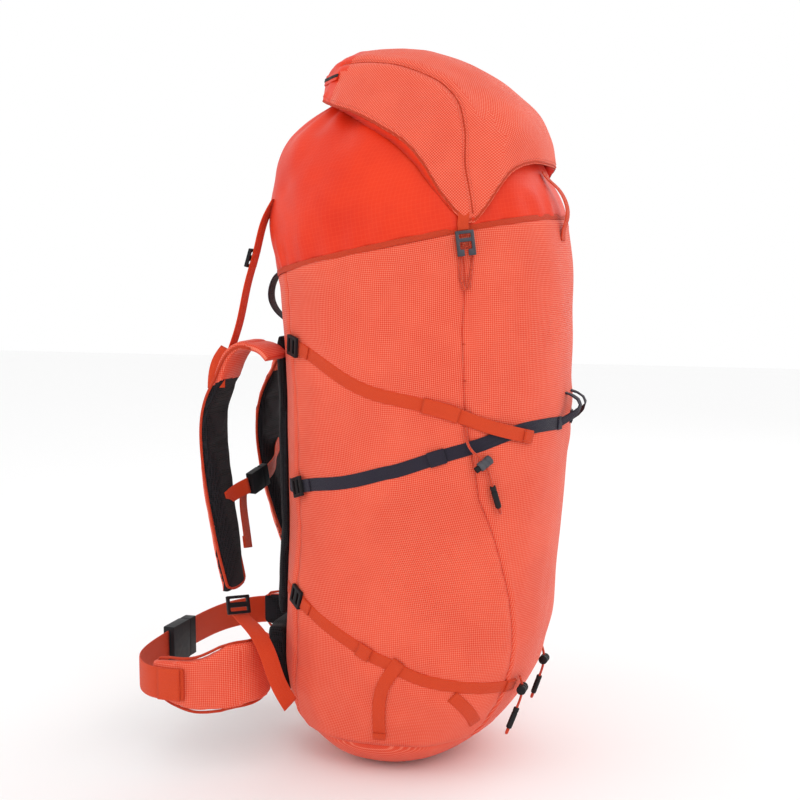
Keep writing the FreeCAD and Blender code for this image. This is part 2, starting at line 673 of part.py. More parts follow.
def lid_section(level):
    """Half width, front and back of the lid's outside at one level."""
    share = min(max((level - LID_LOW) / (LID_TOP - LID_LOW), 0), 1)
    return (hermite(LID, share, 1) * size("bag_half_width"),
            -hermite(LID, share, 2) * size("front_reach"),
            hermite(LID, share, 3) * size("back_reach"))


def lid_loft():
    """Outline of the lid before its lower edge is cut."""
    rings = []
    for share in LID_LEVELS:
        level = LID_LOW + share * (LID_TOP - LID_LOW)
        rings.append(closed_ring(level, *lid_section(level), size("roundness")))
    return Part.makeLoft(rings, True, False, False, 3)


def lid_pocket():
    """Filled lid pocket that sits over the collar, its edge rising towards the back."""
    edge = Part.BSplineCurve()
    edge.interpolate([Vector(-300, y, z) for y, z in LID_EDGE])
    first, last = LID_EDGE[0], LID_EDGE[-1]
    corners = [Vector(-300, last[0], last[1]), Vector(-300, 400, last[1]), Vector(-300, 400, 400),
               Vector(-300, first[0] - 0.01, 400), Vector(-300, first[0], first[1])]
    outline = [edge.toShape()] + [Part.makeLine(a, b) for a, b in zip(corners, corners[1:])]
    under = Part.Face(Part.Wire(outline)).extrude(ACROSS * 600)
    half, point = size("lid_half_arch"), size("lid_point")
    steps = [Vector(half * share, -400, point + size("lid_arch") * (1 - abs(share) ** 5))
             for share in (-1, -0.97, -0.93, -0.87, -0.78, -0.6, -0.3, 0,
                           0.3, 0.6, 0.78, 0.87, 0.93, 0.97, 1)]
    arch = Part.BSplineCurve()
    arch.interpolate(steps)
    sill = [Vector(half, -400, point), Vector(300, -400, point), Vector(300, -400, 400),
            Vector(-300, -400, 400), Vector(-300, -400, point), Vector(-half, -400, point)]
    outline = [arch.toShape()] + [Part.makeLine(a, b) for a, b in zip(sill, sill[1:])]
    front = Part.Face(Part.Wire(outline)).extrude(Vector(0, 400 + first[0], 0))
    hollow = bag_loft(size("lid_gap"))
    raised = hollow.translated(UP * size("lid_top_gap"))
    solid = lid_loft().cut(hollow).cut(raised).cut(under).cut(front)
    return add_shape("lid_pocket", biggest(solid))


ZIP_LEVEL, ZIP_TURNS = 806, range(128, 233, 4)
LID_TAB = ((637, 62, 3.9), (633, 62, 3.9), (629.5, 62, 3.9))
LID_HOOK_LEVEL, LID_HOOK_TURN = 629, 62


def build_lid_fittings():
    """Zip and its pull at the back of the lid, and the hooks on tabs at its front points."""
    rows = [Vector(ZIP_LEVEL, turn, 0) for turn in ZIP_TURNS]
    places = [ring_place(lid_section, row.x, row.y) for row in rows]
    normals = [ring_normal(lid_section, row.x, row.y) for row in rows]
    line = [place + normal * 1.6 for place, normal in zip(places, normals)]
    add_shape("lid_zip", ribbon(line, 12, 1.6, normals=normals))
    pull = new_body("lid_zip_pull")
    slider = new_sketch(pull, "slider_outline")
    add_rectangle(slider, "Sizes.pull_wide", "Sizes.pull_long", None)
    pad(pull, "slider", slider, "Sizes.pull_thick")
    hole = new_sketch(pull, "pull_hole_outline")
    add_rectangle(hole, "Sizes.pull_wide - 4", "Sizes.pull_hole", "Sizes.pull_long - Sizes.pull_hole - 2")
    soften(pull, pocket(pull, "pull_hole", hole), 1.0, UP)
    middle = ring_place(lid_section, ZIP_LEVEL, 180)
    normal = ring_normal(lid_section, ZIP_LEVEL, 180)
    down = ACROSS.cross(normal) * -1
    down = down if down.z < 0 else down * -1
    pull.Placement = frame(middle + normal * (3.6 + size("pull_thick") / 2) - down * 5, down, normal)
    tab = surface_web(LID_TAB, size("web_tab"), 0, 4)
    add_pair("lid_tabs", tab)
    for side_name, side in SIDES:
        pivot = bag_point(LID_HOOK_LEVEL, LID_HOOK_TURN, size("lid_hook_gap"))
        below = bag_point(LID_HOOK_LEVEL - size("hook_long"), LID_HOOK_TURN, size("lid_hook_gap"))
        normal = bag_normal(LID_HOOK_LEVEL - size("hook_long") / 2, LID_HOOK_TURN)
        along = (below - pivot).normalize()
        spots = [mirrored(v, side) for v in (pivot, along, normal)]
        gate_hook(f"{side_name}_lid_hook", "web_tab", frame(*spots))
        hinge = spots[1].cross(spots[2]).normalize()
        print("JOINT", f"{side_name}_lid_hook", *[round(v, 4) for v in (*spots[0], *hinge)])


# -------------------------------------------------------------------------- cords
def cord_tube(label, route):
    """Round cord along straight runs joined by tangent arcs; prints what it measures."""
    points = [Vector(*point) for point in route]
    edges, start, radii = [], points[0], []
    for i in range(1, len(points) - 1):
        before, after = points[i - 1] - points[i], points[i + 1] - points[i]
        reach = 0.45 * min(before.Length, after.Length)
        into, out = before.normalize(), after.normalize()
        half_turn = (math.pi - into.getAngle(out)) / 2
        radii.append(reach / math.tan(half_turn))
        first, last = points[i] + into * reach, points[i] + out * reach
        centre_way = (into + out).normalize()
        centre = points[i] + centre_way * math.hypot(reach, radii[-1])
        edges += [Part.LineSegment(start, first).toShape(),
                  Part.Arc(first, centre - centre_way * radii[-1], last).toShape()]
        start = last
    edges.append(Part.LineSegment(start, points[-1]).toShape())
    path = Part.Wire(edges)
    ring = Part.makeCircle(size("cord_thick") / 2, points[0], (points[1] - points[0]).normalize())
    tube = path.makePipeShell([Part.Wire(ring)], True, False)
    expected = math.pi * (size("cord_thick") / 2) ** 2 * path.Length
    print("CORD", label, round(path.Length, 1), "volume", round(tube.Volume / expected, 4),
          "radii", [round(radius, 1) for radius in radii])
    return add_shape(label, tube)


# Left-hand routes, millimetres, from the seam outwards.
LOOP_ROUTE = ((-146.4, -129.5, 566), (-148.2, -125.3, 577), (-147.8, -124.0, 592), (-146.8, -125.3, 606),
              (-145.2, -128.8, 613.2), (-142.4, -133.8, 613), (-141.0, -136.6, 605.5), (-142.4, -136.0, 592),
              (-144.0, -134.5, 578), (-144.8, -132.5, 566.5))
SIDE_TOOL_ROUTE = ((-145.4, -130.0, 418), (-147.0, -131.6, 409), (-147.0, -133.0, 400),
                   (-144.8, -137.6, 391.5), (-140.6, -144.2, 385), (-137.6, -150.4, 378),
                   (-135.0, -153.6, 369), (-133.0, -155.4, 360), (-130.6, -157.6, 350.5))
BASE_TOOL_ROUTE = ((-62, -173.6, 120), (-61.2, -176, 113), (-60.6, -176.6, 104), (-60.6, -175.2, 95),
                   (-61.6, -172.8, 87), (-62.8, -170.2, 80))


def build_cords():
    """Lid loops and tool cords, their barrel locks with sprung plungers, and the toggles."""
    toggles, barrels = [], []
    for side_name, side in SIDES:
        for label, route in (("lid_loop", LOOP_ROUTE), ("side_tool_cord", SIDE_TOOL_ROUTE),
                             ("base_tool_cord", BASE_TOOL_ROUTE)):
            cord_tube(f"{side_name}_{label}", [mirrored(point, side) for point in route])
        for route, number in ((SIDE_TOOL_ROUTE, 5), (BASE_TOOL_ROUTE, 2)):
            ends = [Vector(*mirrored(point, side)) for point in route]
            way = (ends[-1] - ends[-2]).normalize()
            toggles.append(Part.makeCylinder(size("tube_radius"), size("tube_long"), ends[-1], way))
            across = (ends[number + 1] - ends[number - 1]).normalize()
            axis = barrel_axis(across, number == 5, side)
            base = ends[number] - axis * (size("toggle_long") / 2)
            barrel = Part.makeCylinder(size("toggle_radius"), size("toggle_long"), base, axis)
            bore = Part.makeCylinder(size("plunger_radius") + 0.06, size("plunger_long") + 0.5,
                                     base + axis * (size("toggle_long") - size("plunger_long") - 0.5), axis)
            barrels.append(barrel.cut(bore))
            if number == 5:
                plunger = Part.makeCylinder(size("plunger_radius"), size("plunger_long"),
                                            base + axis * (size("toggle_long") - 3), axis)
                add_shape(f"{side_name}_lock_plunger", plunger)
                print("JOINT", f"{side_name}_lock_plunger",
                      *[round(v, 4) for v in (*(base + axis * size("toggle_long")), *axis)])
    add_shape("cord_lock_barrels", Part.makeCompound(barrels))
    add_shape("cord_toggles", Part.makeCompound(toggles))


def barrel_axis(along, on_side, side):
    """Direction of a cord lock: square to the cord and lying along the bag."""
    outward = Vector(-0.75 * side, -0.66, 0) if on_side else Vector(0, -1, 0.25)
    return along.cross(outward).normalize() * side


# ------------------------------------------------------------------- small pieces
# Level, turn and extra gap of the rope strap's loop over the collar's front.
ROPE_LOOP = ((620, 5, 0), (630, 5, 1.5), (645, 5, 8.5), (662, 5, 10.5), (678, 5, 6.5),
             (690, 5, 1), (697, 5, 0))

# Level and reach beyond the back panel.
HAUL_PATH = ((586, 2.4), (582, 16), (568, 28), (548, 31), (530, 20), (519, 2.4))


def build_back_frame():
    """Haul loop, and the plastic sheet and aluminium stay inside the back."""
    haul = [(0, bag_section(level)[2] + reach, level) for level, reach in HAUL_PATH]
    add_shape("haul_loop", ribbon(smooth(haul, 10), size("web_lift"), size("web_thin"), across=ACROSS))
    rope_loop = surface_web(ROPE_LOOP, size("web_side"), size("skin_gap") + size("web_thin") / 2, 6)
    add_shape("rope_strap_loop", rope_loop)
    wall = size("fabric_wall")
    sheet_widths = (82, 92, 94, 94, 94, 92, 82)
    back_layer("frame_sheet", -wall - size("sheet_wall") - 0.5, -wall - 0.5, sheet_widths, 96, 560)
    path = []
    for level in range(104, 560, 24):
        back = bag_section(level)[2]
        path.append(Vector(0, back - wall - size("sheet_wall") - 1.2 - size("stay_thick") / 2, level))
    add_shape("frame_stay", ribbon(path, size("stay_wide"), size("stay_thick"), across=ACROSS))


build_bag()
build_side_straps()
build_side_hooks()
back_layer("back_pad", 1.0, size("back_pad_thick"), (62, 70, 72, 72, 72, 72, 70, 62), 162, 512)
build_shoulder_pads()
build_load_lifters()
build_lower_webbing()
build_chest_strap()
build_hip_belt()
lid_pocket()
build_lid_fittings()
build_cords()
build_back_frame()

# ---------------------------------------------------------------- check and write
doc.recompute()
problems = [item.Label for item in doc.Objects if {"Invalid", "Error"} & set(item.State)]
problems += [part.Label for part in parts if part.Shape.isNull() or not part.Shape.isValid()]
print("problems", problems)
for part in parts:
    box = part.Shape.BoundBox
    print(part.Label, len(part.Shape.Solids), round(part.Shape.Volume / 1000, 2),
          [round(v) for v in (box.XMin, box.XMax, box.YMin, box.YMax, box.ZMin, box.ZMax)])
if problems:
    raise SystemExit(1)
os.makedirs("parts", exist_ok=True)
for part in parts:
    part.Shape.exportStep(f"parts/{part.Label}.step")
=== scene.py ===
"""Looks of the hiking backpack: fabric panels, lid, harness, webbing, cords and hardware.

Lengths in the tables are millimetres, as on the pack's own drawing; MM turns them into
Blender's metres.  +Z is up, +Y is the wearer's side and -X is the wearer's left.
"""

import json
import math

import bmesh
import bpy
import numpy as np
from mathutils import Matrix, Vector, noise
from mathutils.bvhtree import BVHTree


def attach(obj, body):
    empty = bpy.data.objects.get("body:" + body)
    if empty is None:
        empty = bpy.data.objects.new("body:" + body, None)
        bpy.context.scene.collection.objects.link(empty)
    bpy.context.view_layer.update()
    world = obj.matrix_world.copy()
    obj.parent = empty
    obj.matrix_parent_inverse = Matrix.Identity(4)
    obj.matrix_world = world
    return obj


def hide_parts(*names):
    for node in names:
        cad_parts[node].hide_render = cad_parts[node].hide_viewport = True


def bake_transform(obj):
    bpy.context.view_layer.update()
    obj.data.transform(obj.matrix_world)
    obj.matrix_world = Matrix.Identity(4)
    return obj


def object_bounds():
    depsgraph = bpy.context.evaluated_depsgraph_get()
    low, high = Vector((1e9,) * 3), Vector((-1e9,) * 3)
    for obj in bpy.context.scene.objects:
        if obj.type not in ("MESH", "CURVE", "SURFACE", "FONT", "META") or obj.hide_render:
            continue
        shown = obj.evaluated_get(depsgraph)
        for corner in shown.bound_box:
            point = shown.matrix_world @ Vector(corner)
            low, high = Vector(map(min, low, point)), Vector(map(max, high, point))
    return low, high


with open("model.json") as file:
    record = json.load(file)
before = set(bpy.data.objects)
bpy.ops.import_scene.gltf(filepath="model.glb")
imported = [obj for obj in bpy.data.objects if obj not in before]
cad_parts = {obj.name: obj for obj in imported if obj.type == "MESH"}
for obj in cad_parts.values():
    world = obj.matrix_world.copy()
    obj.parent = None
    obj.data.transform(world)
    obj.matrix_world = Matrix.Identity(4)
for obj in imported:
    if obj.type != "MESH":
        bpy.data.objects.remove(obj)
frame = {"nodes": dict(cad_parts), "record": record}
cad_low, cad_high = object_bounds()
nodes = frame["nodes"]
body_names = {name: body for body, names in frame["record"]["behaviour"]["bodies"].items() for name in names}
MM = 0.001
SIDES = (("left", 1), ("right", -1))


# ------------------------------------------------------------------ camera and light
def place_camera():
    """Camera at the catalogue angle: from the wearer's left, a little towards the front."""
    turn, distance, height = math.radians(-73), 1.6, 0.60
    aim = Vector((0, -0.040, 0.43))
    spot = Vector((math.sin(turn) * distance, -math.cos(turn) * distance - 0.040, height))
    camera = bpy.data.cameras.new("camera")
    camera.lens = 60
    camera.sensor_width = 36
    camera.shift_x = -25 / 800
    item = bpy.data.objects.new("camera", camera)
    bpy.context.scene.collection.objects.link(item)
    item.location = spot
    item.rotation_euler = (aim - spot).to_track_quat("-Z", "Y").to_euler()
    bpy.context.scene.camera = item


def area_light(name, spot, aim, size, power):
    """Soft square light."""
    data = bpy.data.lights.new(name, "AREA")
    data.size = size
    data.energy = power
    item = bpy.data.objects.new(name, data)
    bpy.context.scene.collection.objects.link(item)
    item.location = spot
    item.rotation_euler = (Vector(aim) - Vector(spot)).to_track_quat("-Z", "Y").to_euler()


def build_studio():
    """Pale floor, bright even surroundings and three soft lights."""
    scene = bpy.context.scene
    scene.view_settings.view_transform = "Standard"
    world = bpy.data.worlds.new("studio")
    scene.world = world
    world.use_nodes = True
    background = world.node_tree.nodes["Background"]
    background.inputs["Color"].default_value = (1, 1, 1, 1)
    background.inputs["Strength"].default_value = 1.0
    area_light("key", (-2.2, -1.6, 2.1), (0, 0, 0.45), 1.6, 13)
    area_light("fill", (-1.6, 2.0, 1.3), (0, 0, 0.40), 1.6, 5)
    area_light("back", (1.8, -1.2, 1.8), (0, 0, 0.45), 1.6, 8)
    floor = bpy.data.meshes.new("floor")
    reach = 6
    floor.from_pydata([(-reach, -reach, 0), (reach, -reach, 0), (reach, reach, 0), (-reach, reach, 0)], [],
                      [(0, 1, 2, 3)])
    item = bpy.data.objects.new("floor", floor)
    scene.collection.objects.link(item)
    item.location.z = cad_low.z - 0.0005
    material = bpy.data.materials.new("floor_pale")
    material.use_nodes = True
    shader = material.node_tree.nodes["Principled BSDF"]
    shader.inputs["Base Color"].default_value = (0.95, 0.95, 0.95, 1)
    shader.inputs["Roughness"].default_value = 0.9
    floor.materials.append(material)


# ------------------------------------------------------------------------- materials
class Nodes:
    """Short hand for building one material's node tree."""

    def __init__(self, name, roughness=0.7, specular=0.35, sheen=0.0, metallic=0.0):
        self.material = bpy.data.materials.new(name)
        self.material.use_nodes = True
        self.tree = self.material.node_tree
        self.shader = self.tree.nodes["Principled BSDF"]
        self.shader.inputs["Roughness"].default_value = roughness
        self.shader.inputs["Specular IOR Level"].default_value = specular
        self.shader.inputs["Sheen Weight"].default_value = sheen
        self.shader.inputs["Sheen Roughness"].default_value = 0.5
        self.shader.inputs["Metallic"].default_value = metallic

    def add(self, kind, **settings):
        node = self.tree.nodes.new(kind)
        for key, value in settings.items():
            setattr(node, key, value)
        return node

    def link(self, source, target):
        self.tree.links.new(source, target)

    def math(self, operation, first, second=None, third=None):
        node = self.add("ShaderNodeMath", operation=operation)
        for socket, value in zip(node.inputs, (first, second, third)):
            if value is None:
                continue
            if isinstance(value, (int, float)):
                socket.default_value = value
            else:
                self.link(value, socket)
        return node.outputs[0]

    def weave(self):
        """The cloth's own coordinates in millimetres: across, along."""
        source = self.add("ShaderNodeAttribute", attribute_name="weave")
        split = self.add("ShaderNodeSeparateXYZ")
        self.link(source.outputs["Vector"], split.inputs[0])
        return split.outputs[0], split.outputs[1]

    def noise(self, scale, detail=3.0, roughness=0.55):
        """Noise in the object's own space."""
        place = self.add("ShaderNodeTexCoord")
        texture = self.add("ShaderNodeTexNoise")
        texture.inputs["Scale"].default_value = scale
        texture.inputs["Detail"].default_value = detail
        texture.inputs["Roughness"].default_value = roughness
        self.link(place.outputs["Object"], texture.inputs["Vector"])
        return texture.outputs["Fac"]

    def mix(self, factor, first, second):
        """Colour mix; a colour is a socket or three numbers."""
        node = self.add("ShaderNodeMix", data_type="RGBA")
        if isinstance(factor, (int, float)):
            node.inputs[0].default_value = factor
        else:
            self.link(factor, node.inputs[0])
        for socket, value in ((node.inputs[6], first), (node.inputs[7], second)):
            if isinstance(value, tuple):
                socket.default_value = (*value, 1)
            else:
                self.link(value, socket)
        return node.outputs[2]

    def ramp(self, value, low, high):
        """Smooth 0 to 1 between low and high."""
        node = self.add("ShaderNodeMapRange", interpolation_type="SMOOTHSTEP")
        self.link(value, node.inputs[0])
        node.inputs[1].default_value = low
        node.inputs[2].default_value = high
        return node.outputs[0]

    def line(self, coordinate, pitch, width):
        """1 on thin lines every pitch, 0 between them."""
        phase = self.math("FRACT", self.math("DIVIDE", coordinate, pitch))
        away = self.math("ABSOLUTE", self.math("SUBTRACT", phase, 0.5))
        edge = width / pitch / 2
        flat = self.ramp(away, edge * 0.5, edge * 1.5)
        return self.math("SUBTRACT", 1.0, flat)

    def wave(self, coordinate, pitch):
        """Sine ridge, 0 to 1."""
        angle = self.math("MULTIPLY", coordinate, 2 * math.pi / pitch)
        return self.math("MULTIPLY_ADD", self.math("SINE", angle), 0.5, 0.5)

    def bump(self, layers):
        """Chain of bumps; each layer is height socket, distance in metres, strength."""
        previous = None
        for height, distance, strength in layers:
            node = self.add("ShaderNodeBump")
            node.inputs["Distance"].default_value = distance
            node.inputs["Strength"].default_value = strength
            self.link(height, node.inputs["Height"])
            if previous is not None:
                self.link(previous, node.inputs["Normal"])
            previous = node.outputs["Normal"]
        self.link(previous, self.shader.inputs["Normal"])

    def colour(self, socket):
        self.link(socket, self.shader.inputs["Base Color"])

    def rough(self, value, low, high):
        """Roughness from low to high as value goes from 0 to 1."""
        node = self.add("ShaderNodeMapRange")
        self.link(value, node.inputs[0])
        node.inputs[3].default_value = low
        node.inputs[4].default_value = high
        self.link(node.outputs[0], self.shader.inputs["Roughness"])


def linear(red, green, blue):
    """sRGB, 0 to 255, to linear colour."""
    result = []
    for value in (red, green, blue):
        share = value / 255
        result.append(share / 12.92 if share <= 0.04045 else ((share + 0.055) / 1.055) ** 2.4)
    return tuple(result)


def make_ripstop(name, diagonal=False, pitch=2.2):
    """Coral ripstop: a fine raised grid of paler yarn on a tight plain weave."""
    m = Nodes(name, roughness=0.62, specular=0.2, sheen=0.06)
    across, along = m.weave()
    if diagonal:
        across, along = m.math("ADD", across, along), m.math("SUBTRACT", across, along)
        pitch *= 1.41421
    grid = m.math("MAXIMUM", m.line(across, pitch, pitch * 0.30), m.line(along, pitch, pitch * 0.30))
    knots = m.math("MULTIPLY", m.line(across, pitch, pitch * 0.36), m.line(along, pitch, pitch * 0.36))
    ground = m.mix(m.ramp(m.noise(14, 4), 0.35, 0.68), linear(223, 56, 28), linear(232, 70, 42))
    grid_colour = m.mix(m.noise(60, 2), linear(238, 116, 88), linear(246, 138, 110))
    cloth = m.mix(m.math("MULTIPLY", grid, 0.62), ground, grid_colour)
    cloth = m.mix(m.math("MULTIPLY", knots, 0.55), cloth, linear(250, 158, 132))
    wear = m.ramp(m.noise(5, 5, 0.65), 0.58, 0.80)
    cloth = m.mix(m.math("MULTIPLY", wear, 0.12), cloth, linear(242, 110, 78))
    m.colour(cloth)
    m.rough(grid, 0.68, 0.50)
    plain = m.math("MULTIPLY", m.wave(across, 0.55), m.wave(along, 0.55))
    m.bump(((m.noise(38, 4), 0.0012, 0.35), (grid, 0.00022, 0.9), (plain, 0.0001, 0.5)))
    return m.material


def make_collar_cloth(name):
    """Thin coated plain weave, a cleaner orange-red with a soft sheen."""
    m = Nodes(name, roughness=0.5, specular=0.25, sheen=0.04)
    across, along = m.weave()
    ground = m.mix(m.ramp(m.noise(9, 5), 0.30, 0.72), linear(216, 40, 6), linear(232, 54, 12))
    ribs = m.math("MAXIMUM", m.line(across, 5.0, 0.5), m.line(along, 5.0, 0.5))
    m.colour(m.mix(m.math("MULTIPLY", ribs, 0.16), ground, linear(246, 96, 52)))
    m.rough(m.noise(30, 3), 0.40, 0.56)
    plain = m.math("MULTIPLY", m.wave(across, 0.6), m.wave(along, 0.6))
    m.bump(((m.noise(22, 5), 0.0022, 0.5), (m.noise(70, 3), 0.0008, 0.4), (plain, 0.0001, 0.4),
            (ribs, 0.0001, 0.5)))
    return m.material


def make_webbing(name, dark, light, sheen=0.2, rib=1.15):
    """Flat woven webbing: a herringbone of fine yarns."""
    m = Nodes(name, roughness=0.66, specular=0.3, sheen=sheen)
    across, along = m.weave()
    zigzag = m.math("ABSOLUTE", m.math("SUBTRACT", m.math("FRACT", m.math("DIVIDE", across, rib * 4)), 0.5))
    slant = m.math("MULTIPLY_ADD", zigzag, rib * 4, along)
    yarn = m.wave(slant, rib)
    cross = m.wave(across, rib * 0.8)
    shade = m.ramp(m.math("MULTIPLY", yarn, cross), 0.05, 0.75)
    tint = m.mix(shade, dark, light)
    m.colour(m.mix(m.math("MULTIPLY", m.noise(45, 4), 0.35), tint, dark))
    m.rough(yarn, 0.75, 0.58)
    m.bump(((m.noise(60, 3), 0.0005, 0.3), (yarn, 0.0004, 0.8), (cross, 0.0003, 0.6)))
    return m.material


def make_spacer_mesh(name):
    """Black spacer mesh over foam: rows of small hexagonal holes."""
    m = Nodes(name, roughness=0.9, specular=0.15, sheen=0.05)
    place = m.add("ShaderNodeTexCoord")
    cells = m.add("ShaderNodeTexVoronoi", feature="F1")
    cells.inputs["Scale"].default_value = 420
    cells.inputs["Randomness"].default_value = 0.18
    m.link(place.outputs["Object"], cells.inputs["Vector"])
    holes = m.ramp(cells.outputs["Distance"], 0.25, 0.55)
    m.colour(m.mix(holes, linear(8, 8, 10), linear(34, 33, 37)))
    m.bump(((m.noise(30, 3), 0.001, 0.3), (holes, 0.0006, 0.9)))
    return m.material


def make_plastic(name, dark, light, roughness=0.5):
    """Moulded acetal with a fine spark-eroded grain and a painted highlight on its convex edges."""
    m = Nodes(name, roughness=roughness, specular=0.22)
    geometry = m.add("ShaderNodeNewGeometry")
    # Painted highlight: convex edges, found by pointiness, are lightened towards pale grey.
    painted_edge_highlight = m.ramp(geometry.outputs["Pointiness"], 0.50, 0.62)
    base = m.mix(m.noise(70, 4), dark, light)
    m.colour(m.mix(m.math("MULTIPLY", painted_edge_highlight, 0.2), base, linear(70, 70, 74)))
    grain = m.noise(1400, 2)
    m.rough(m.noise(160, 3), roughness - 0.08, roughness + 0.12)
    m.bump(((grain, 0.00008, 0.5), (m.noise(90, 2), 0.0003, 0.15)))
    return m.material


def make_metal(name, colour, roughness):
    """Anodised or brushed metal with fine scratches."""
    m = Nodes(name, roughness=roughness, metallic=1.0)
    place = m.add("ShaderNodeTexCoord")
    stretch = m.add("ShaderNodeMapping")
    stretch.inputs["Scale"].default_value = (40, 40, 900)
    m.link(place.outputs["Object"], stretch.inputs["Vector"])
    scratches = m.add("ShaderNodeTexNoise")
    scratches.inputs["Scale"].default_value = 6
    m.link(stretch.outputs[0], scratches.inputs["Vector"])
    pale = tuple(min(1, value * 1.5 + 0.03) for value in colour)
    m.colour(m.mix(scratches.outputs["Fac"], colour, pale))
    m.rough(scratches.outputs["Fac"], roughness - 0.08, roughness + 0.15)
    m.bump(((scratches.outputs["Fac"], 0.00006, 0.5),))
    return m.material


def make_cord_sheath(name, dark, light):
    """Braided sheath: a fine cell pattern in the object's own space."""
    m = Nodes(name, roughness=0.6, specular=0.3, sheen=0.3)
    place = m.add("ShaderNodeTexCoord")
    checks = m.add("ShaderNodeTexVoronoi", feature="F1")
    checks.inputs["Scale"].default_value = 900
    m.link(place.outputs["Object"], checks.inputs["Vector"])
    m.colour(m.mix(m.ramp(checks.outputs["Distance"], 0.1, 0.6), light, dark))
    m.bump(((checks.outputs["Distance"], 0.0003, 0.8), (m.noise(200, 2), 0.0002, 0.3)))
    return m.material


RIPSTOP = make_ripstop("ripstop")
LID_RIPSTOP = make_ripstop("ripstop_bias", diagonal=True)
COLLAR_CLOTH = make_collar_cloth("collar_cloth")
WEBBING = make_webbing("webbing_orange", linear(218, 58, 16), linear(250, 96, 42), sheen=0.05)
WEBBING_DARK = make_webbing("webbing_dark", linear(20, 16, 30), linear(56, 46, 74), sheen=0.08)
BINDING = make_webbing("binding_orange", linear(214, 56, 18), linear(244, 86, 38), sheen=0.05, rib=0.8)
SPACER = make_spacer_mesh("spacer_mesh")
PLASTIC = make_plastic("moulded_black", linear(9, 9, 12), linear(20, 20, 24))
GREY_PLASTIC = make_plastic("moulded_grey", linear(60, 60, 66), linear(86, 86, 92), 0.38)
HOOK_METAL = make_metal("dark_anodised", linear(58, 58, 64), 0.36)
STAY_METAL = make_metal("stay_aluminium", linear(176, 178, 182), 0.36)
CORD_ORANGE = make_cord_sheath("cord_orange", linear(178, 44, 14), linear(238, 84, 36))
THREAD = make_cord_sheath("thread_orange", linear(186, 50, 22), linear(240, 104, 66))
THREAD_DARK = make_cord_sheath("thread_dark", linear(26, 22, 34), linear(52, 46, 62))


# ------------------------------------------------------------------- surface of the bag
# Rows: share of the height, of the half width, of the front reach, of the back reach.
BAG = np.array((
    (0.00, 0.355, 0.195, 0.27), (0.01, 0.545, 0.335, 0.385), (0.03, 0.71, 0.475, 0.57),
    (0.075, 0.82, 0.665, 0.83), (0.14, 0.885, 0.82, 0.905), (0.225, 0.93, 0.91, 0.89),
    (0.375, 0.96, 0.955, 0.85), (0.56, 0.985, 1.00, 0.87), (0.70, 1.00, 1.00, 0.915),
    (0.80, 0.995, 0.967, 1.00), (0.875, 0.90, 0.86, 0.95), (0.92, 0.76, 0.75, 0.84),
    (0.955, 0.57, 0.59, 0.64), (0.98, 0.42, 0.45, 0.40), (1.00, 0.29, 0.345, 0.215),
))
LID = np.array((
    (0.00, 1.005, 0.965, 0.87), (0.12, 1.005, 0.955, 0.87), (0.22, 0.995, 0.935, 0.86),
    (0.32, 0.97, 0.905, 0.81), (0.47, 0.895, 0.885, 0.73), (0.60, 0.79, 0.825, 0.63),
    (0.73, 0.66, 0.70, 0.545), (0.84, 0.535, 0.56, 0.515), (0.92, 0.40, 0.41, 0.445),
    (0.97, 0.26, 0.255, 0.30), (1.00, 0.06, 0.10, 0.06),
))
BAG_TALL, HALF_WIDTH, FRONT_REACH, BACK_REACH, POWER = 800, 158, 214, 140, 2.35
LID_LOW, LID_TOP = 632, 845
RIM_LEVEL, RIM_SLOPE = 604, 0.2


def smooth_table(table, samples):
    """Monotone cubic through the table's rows, sampled evenly along its first column."""
    places = table[:, 0]
    spans = np.diff(places)
    rises = np.diff(table[:, 1:], axis=0) / spans[:, None]
    slopes = np.zeros_like(table[:, 1:])
    slopes[0], slopes[-1] = rises[0], rises[-1]
    product = rises[:-1] * rises[1:]
    total = np.where(np.abs(rises[:-1] + rises[1:]) < 1e-12, 1, rises[:-1] + rises[1:])
    slopes[1:-1] = np.where(product > 0, 2 * product / total, 0)
    where = np.linspace(0, 1, samples)
    index = np.clip(np.searchsorted(places, where, side="right") - 1, 0, len(spans) - 1)
    t = ((where - places[index]) / spans[index])[:, None]
    low, high, span = table[index, 1:], table[index + 1, 1:], spans[index][:, None]
    return ((2 * t ** 3 - 3 * t ** 2 + 1) * low + (3 * t ** 2 - 2 * t ** 3) * high
            + span * ((t ** 3 - 2 * t ** 2 + t) * slopes[index] + (t ** 3 - t ** 2) * slopes[index + 1]))


class Ringed:
    """A surface of superellipse rings stacked from low to top, in millimetres."""

    def __init__(self, table, low, top):
        self.low, self.top = low, top
        self.rows = smooth_table(table, 1601) * (HALF_WIDTH, FRONT_REACH, BACK_REACH)
        self.shares = np.linspace(0, 1, 1601)

    def section(self, level):
        share = (np.asarray(level, float) - self.low) / (self.top - self.low)
        half_width, front, back = [np.interp(share, self.shares, self.rows[:, i]) for i in range(3)]
        return half_width, -front, back

    def point(self, level, turn):
        """Places for levels and turns; turn is in degrees from the front to the left."""
        level, turn = np.broadcast_arrays(np.asarray(level, float), np.asarray(turn, float))
        half_width, front, back = self.section(level)
        angle = np.radians(turn)
        c, s = np.cos(angle), np.sin(angle)
        x = -half_width * np.sign(s) * np.abs(s) ** (2 / POWER)
        y = (front + back) / 2 - (back - front) / 2 * np.sign(c) * np.abs(c) ** (2 / POWER)
        return np.stack((x, y, level), axis=-1)

    def normal(self, level, turn):
        level = np.asarray(level, float)
        low = np.maximum(level - 4.0, self.low + 0.5)
        rise = self.point(low + 8, turn) - self.point(low, turn)
        round_step = self.point(level, np.asarray(turn) + 1.5) - self.point(level, np.asarray(turn) - 1.5)
        result = np.cross(rise, round_step)
        return result / np.linalg.norm(result, axis=-1, keepdims=True)


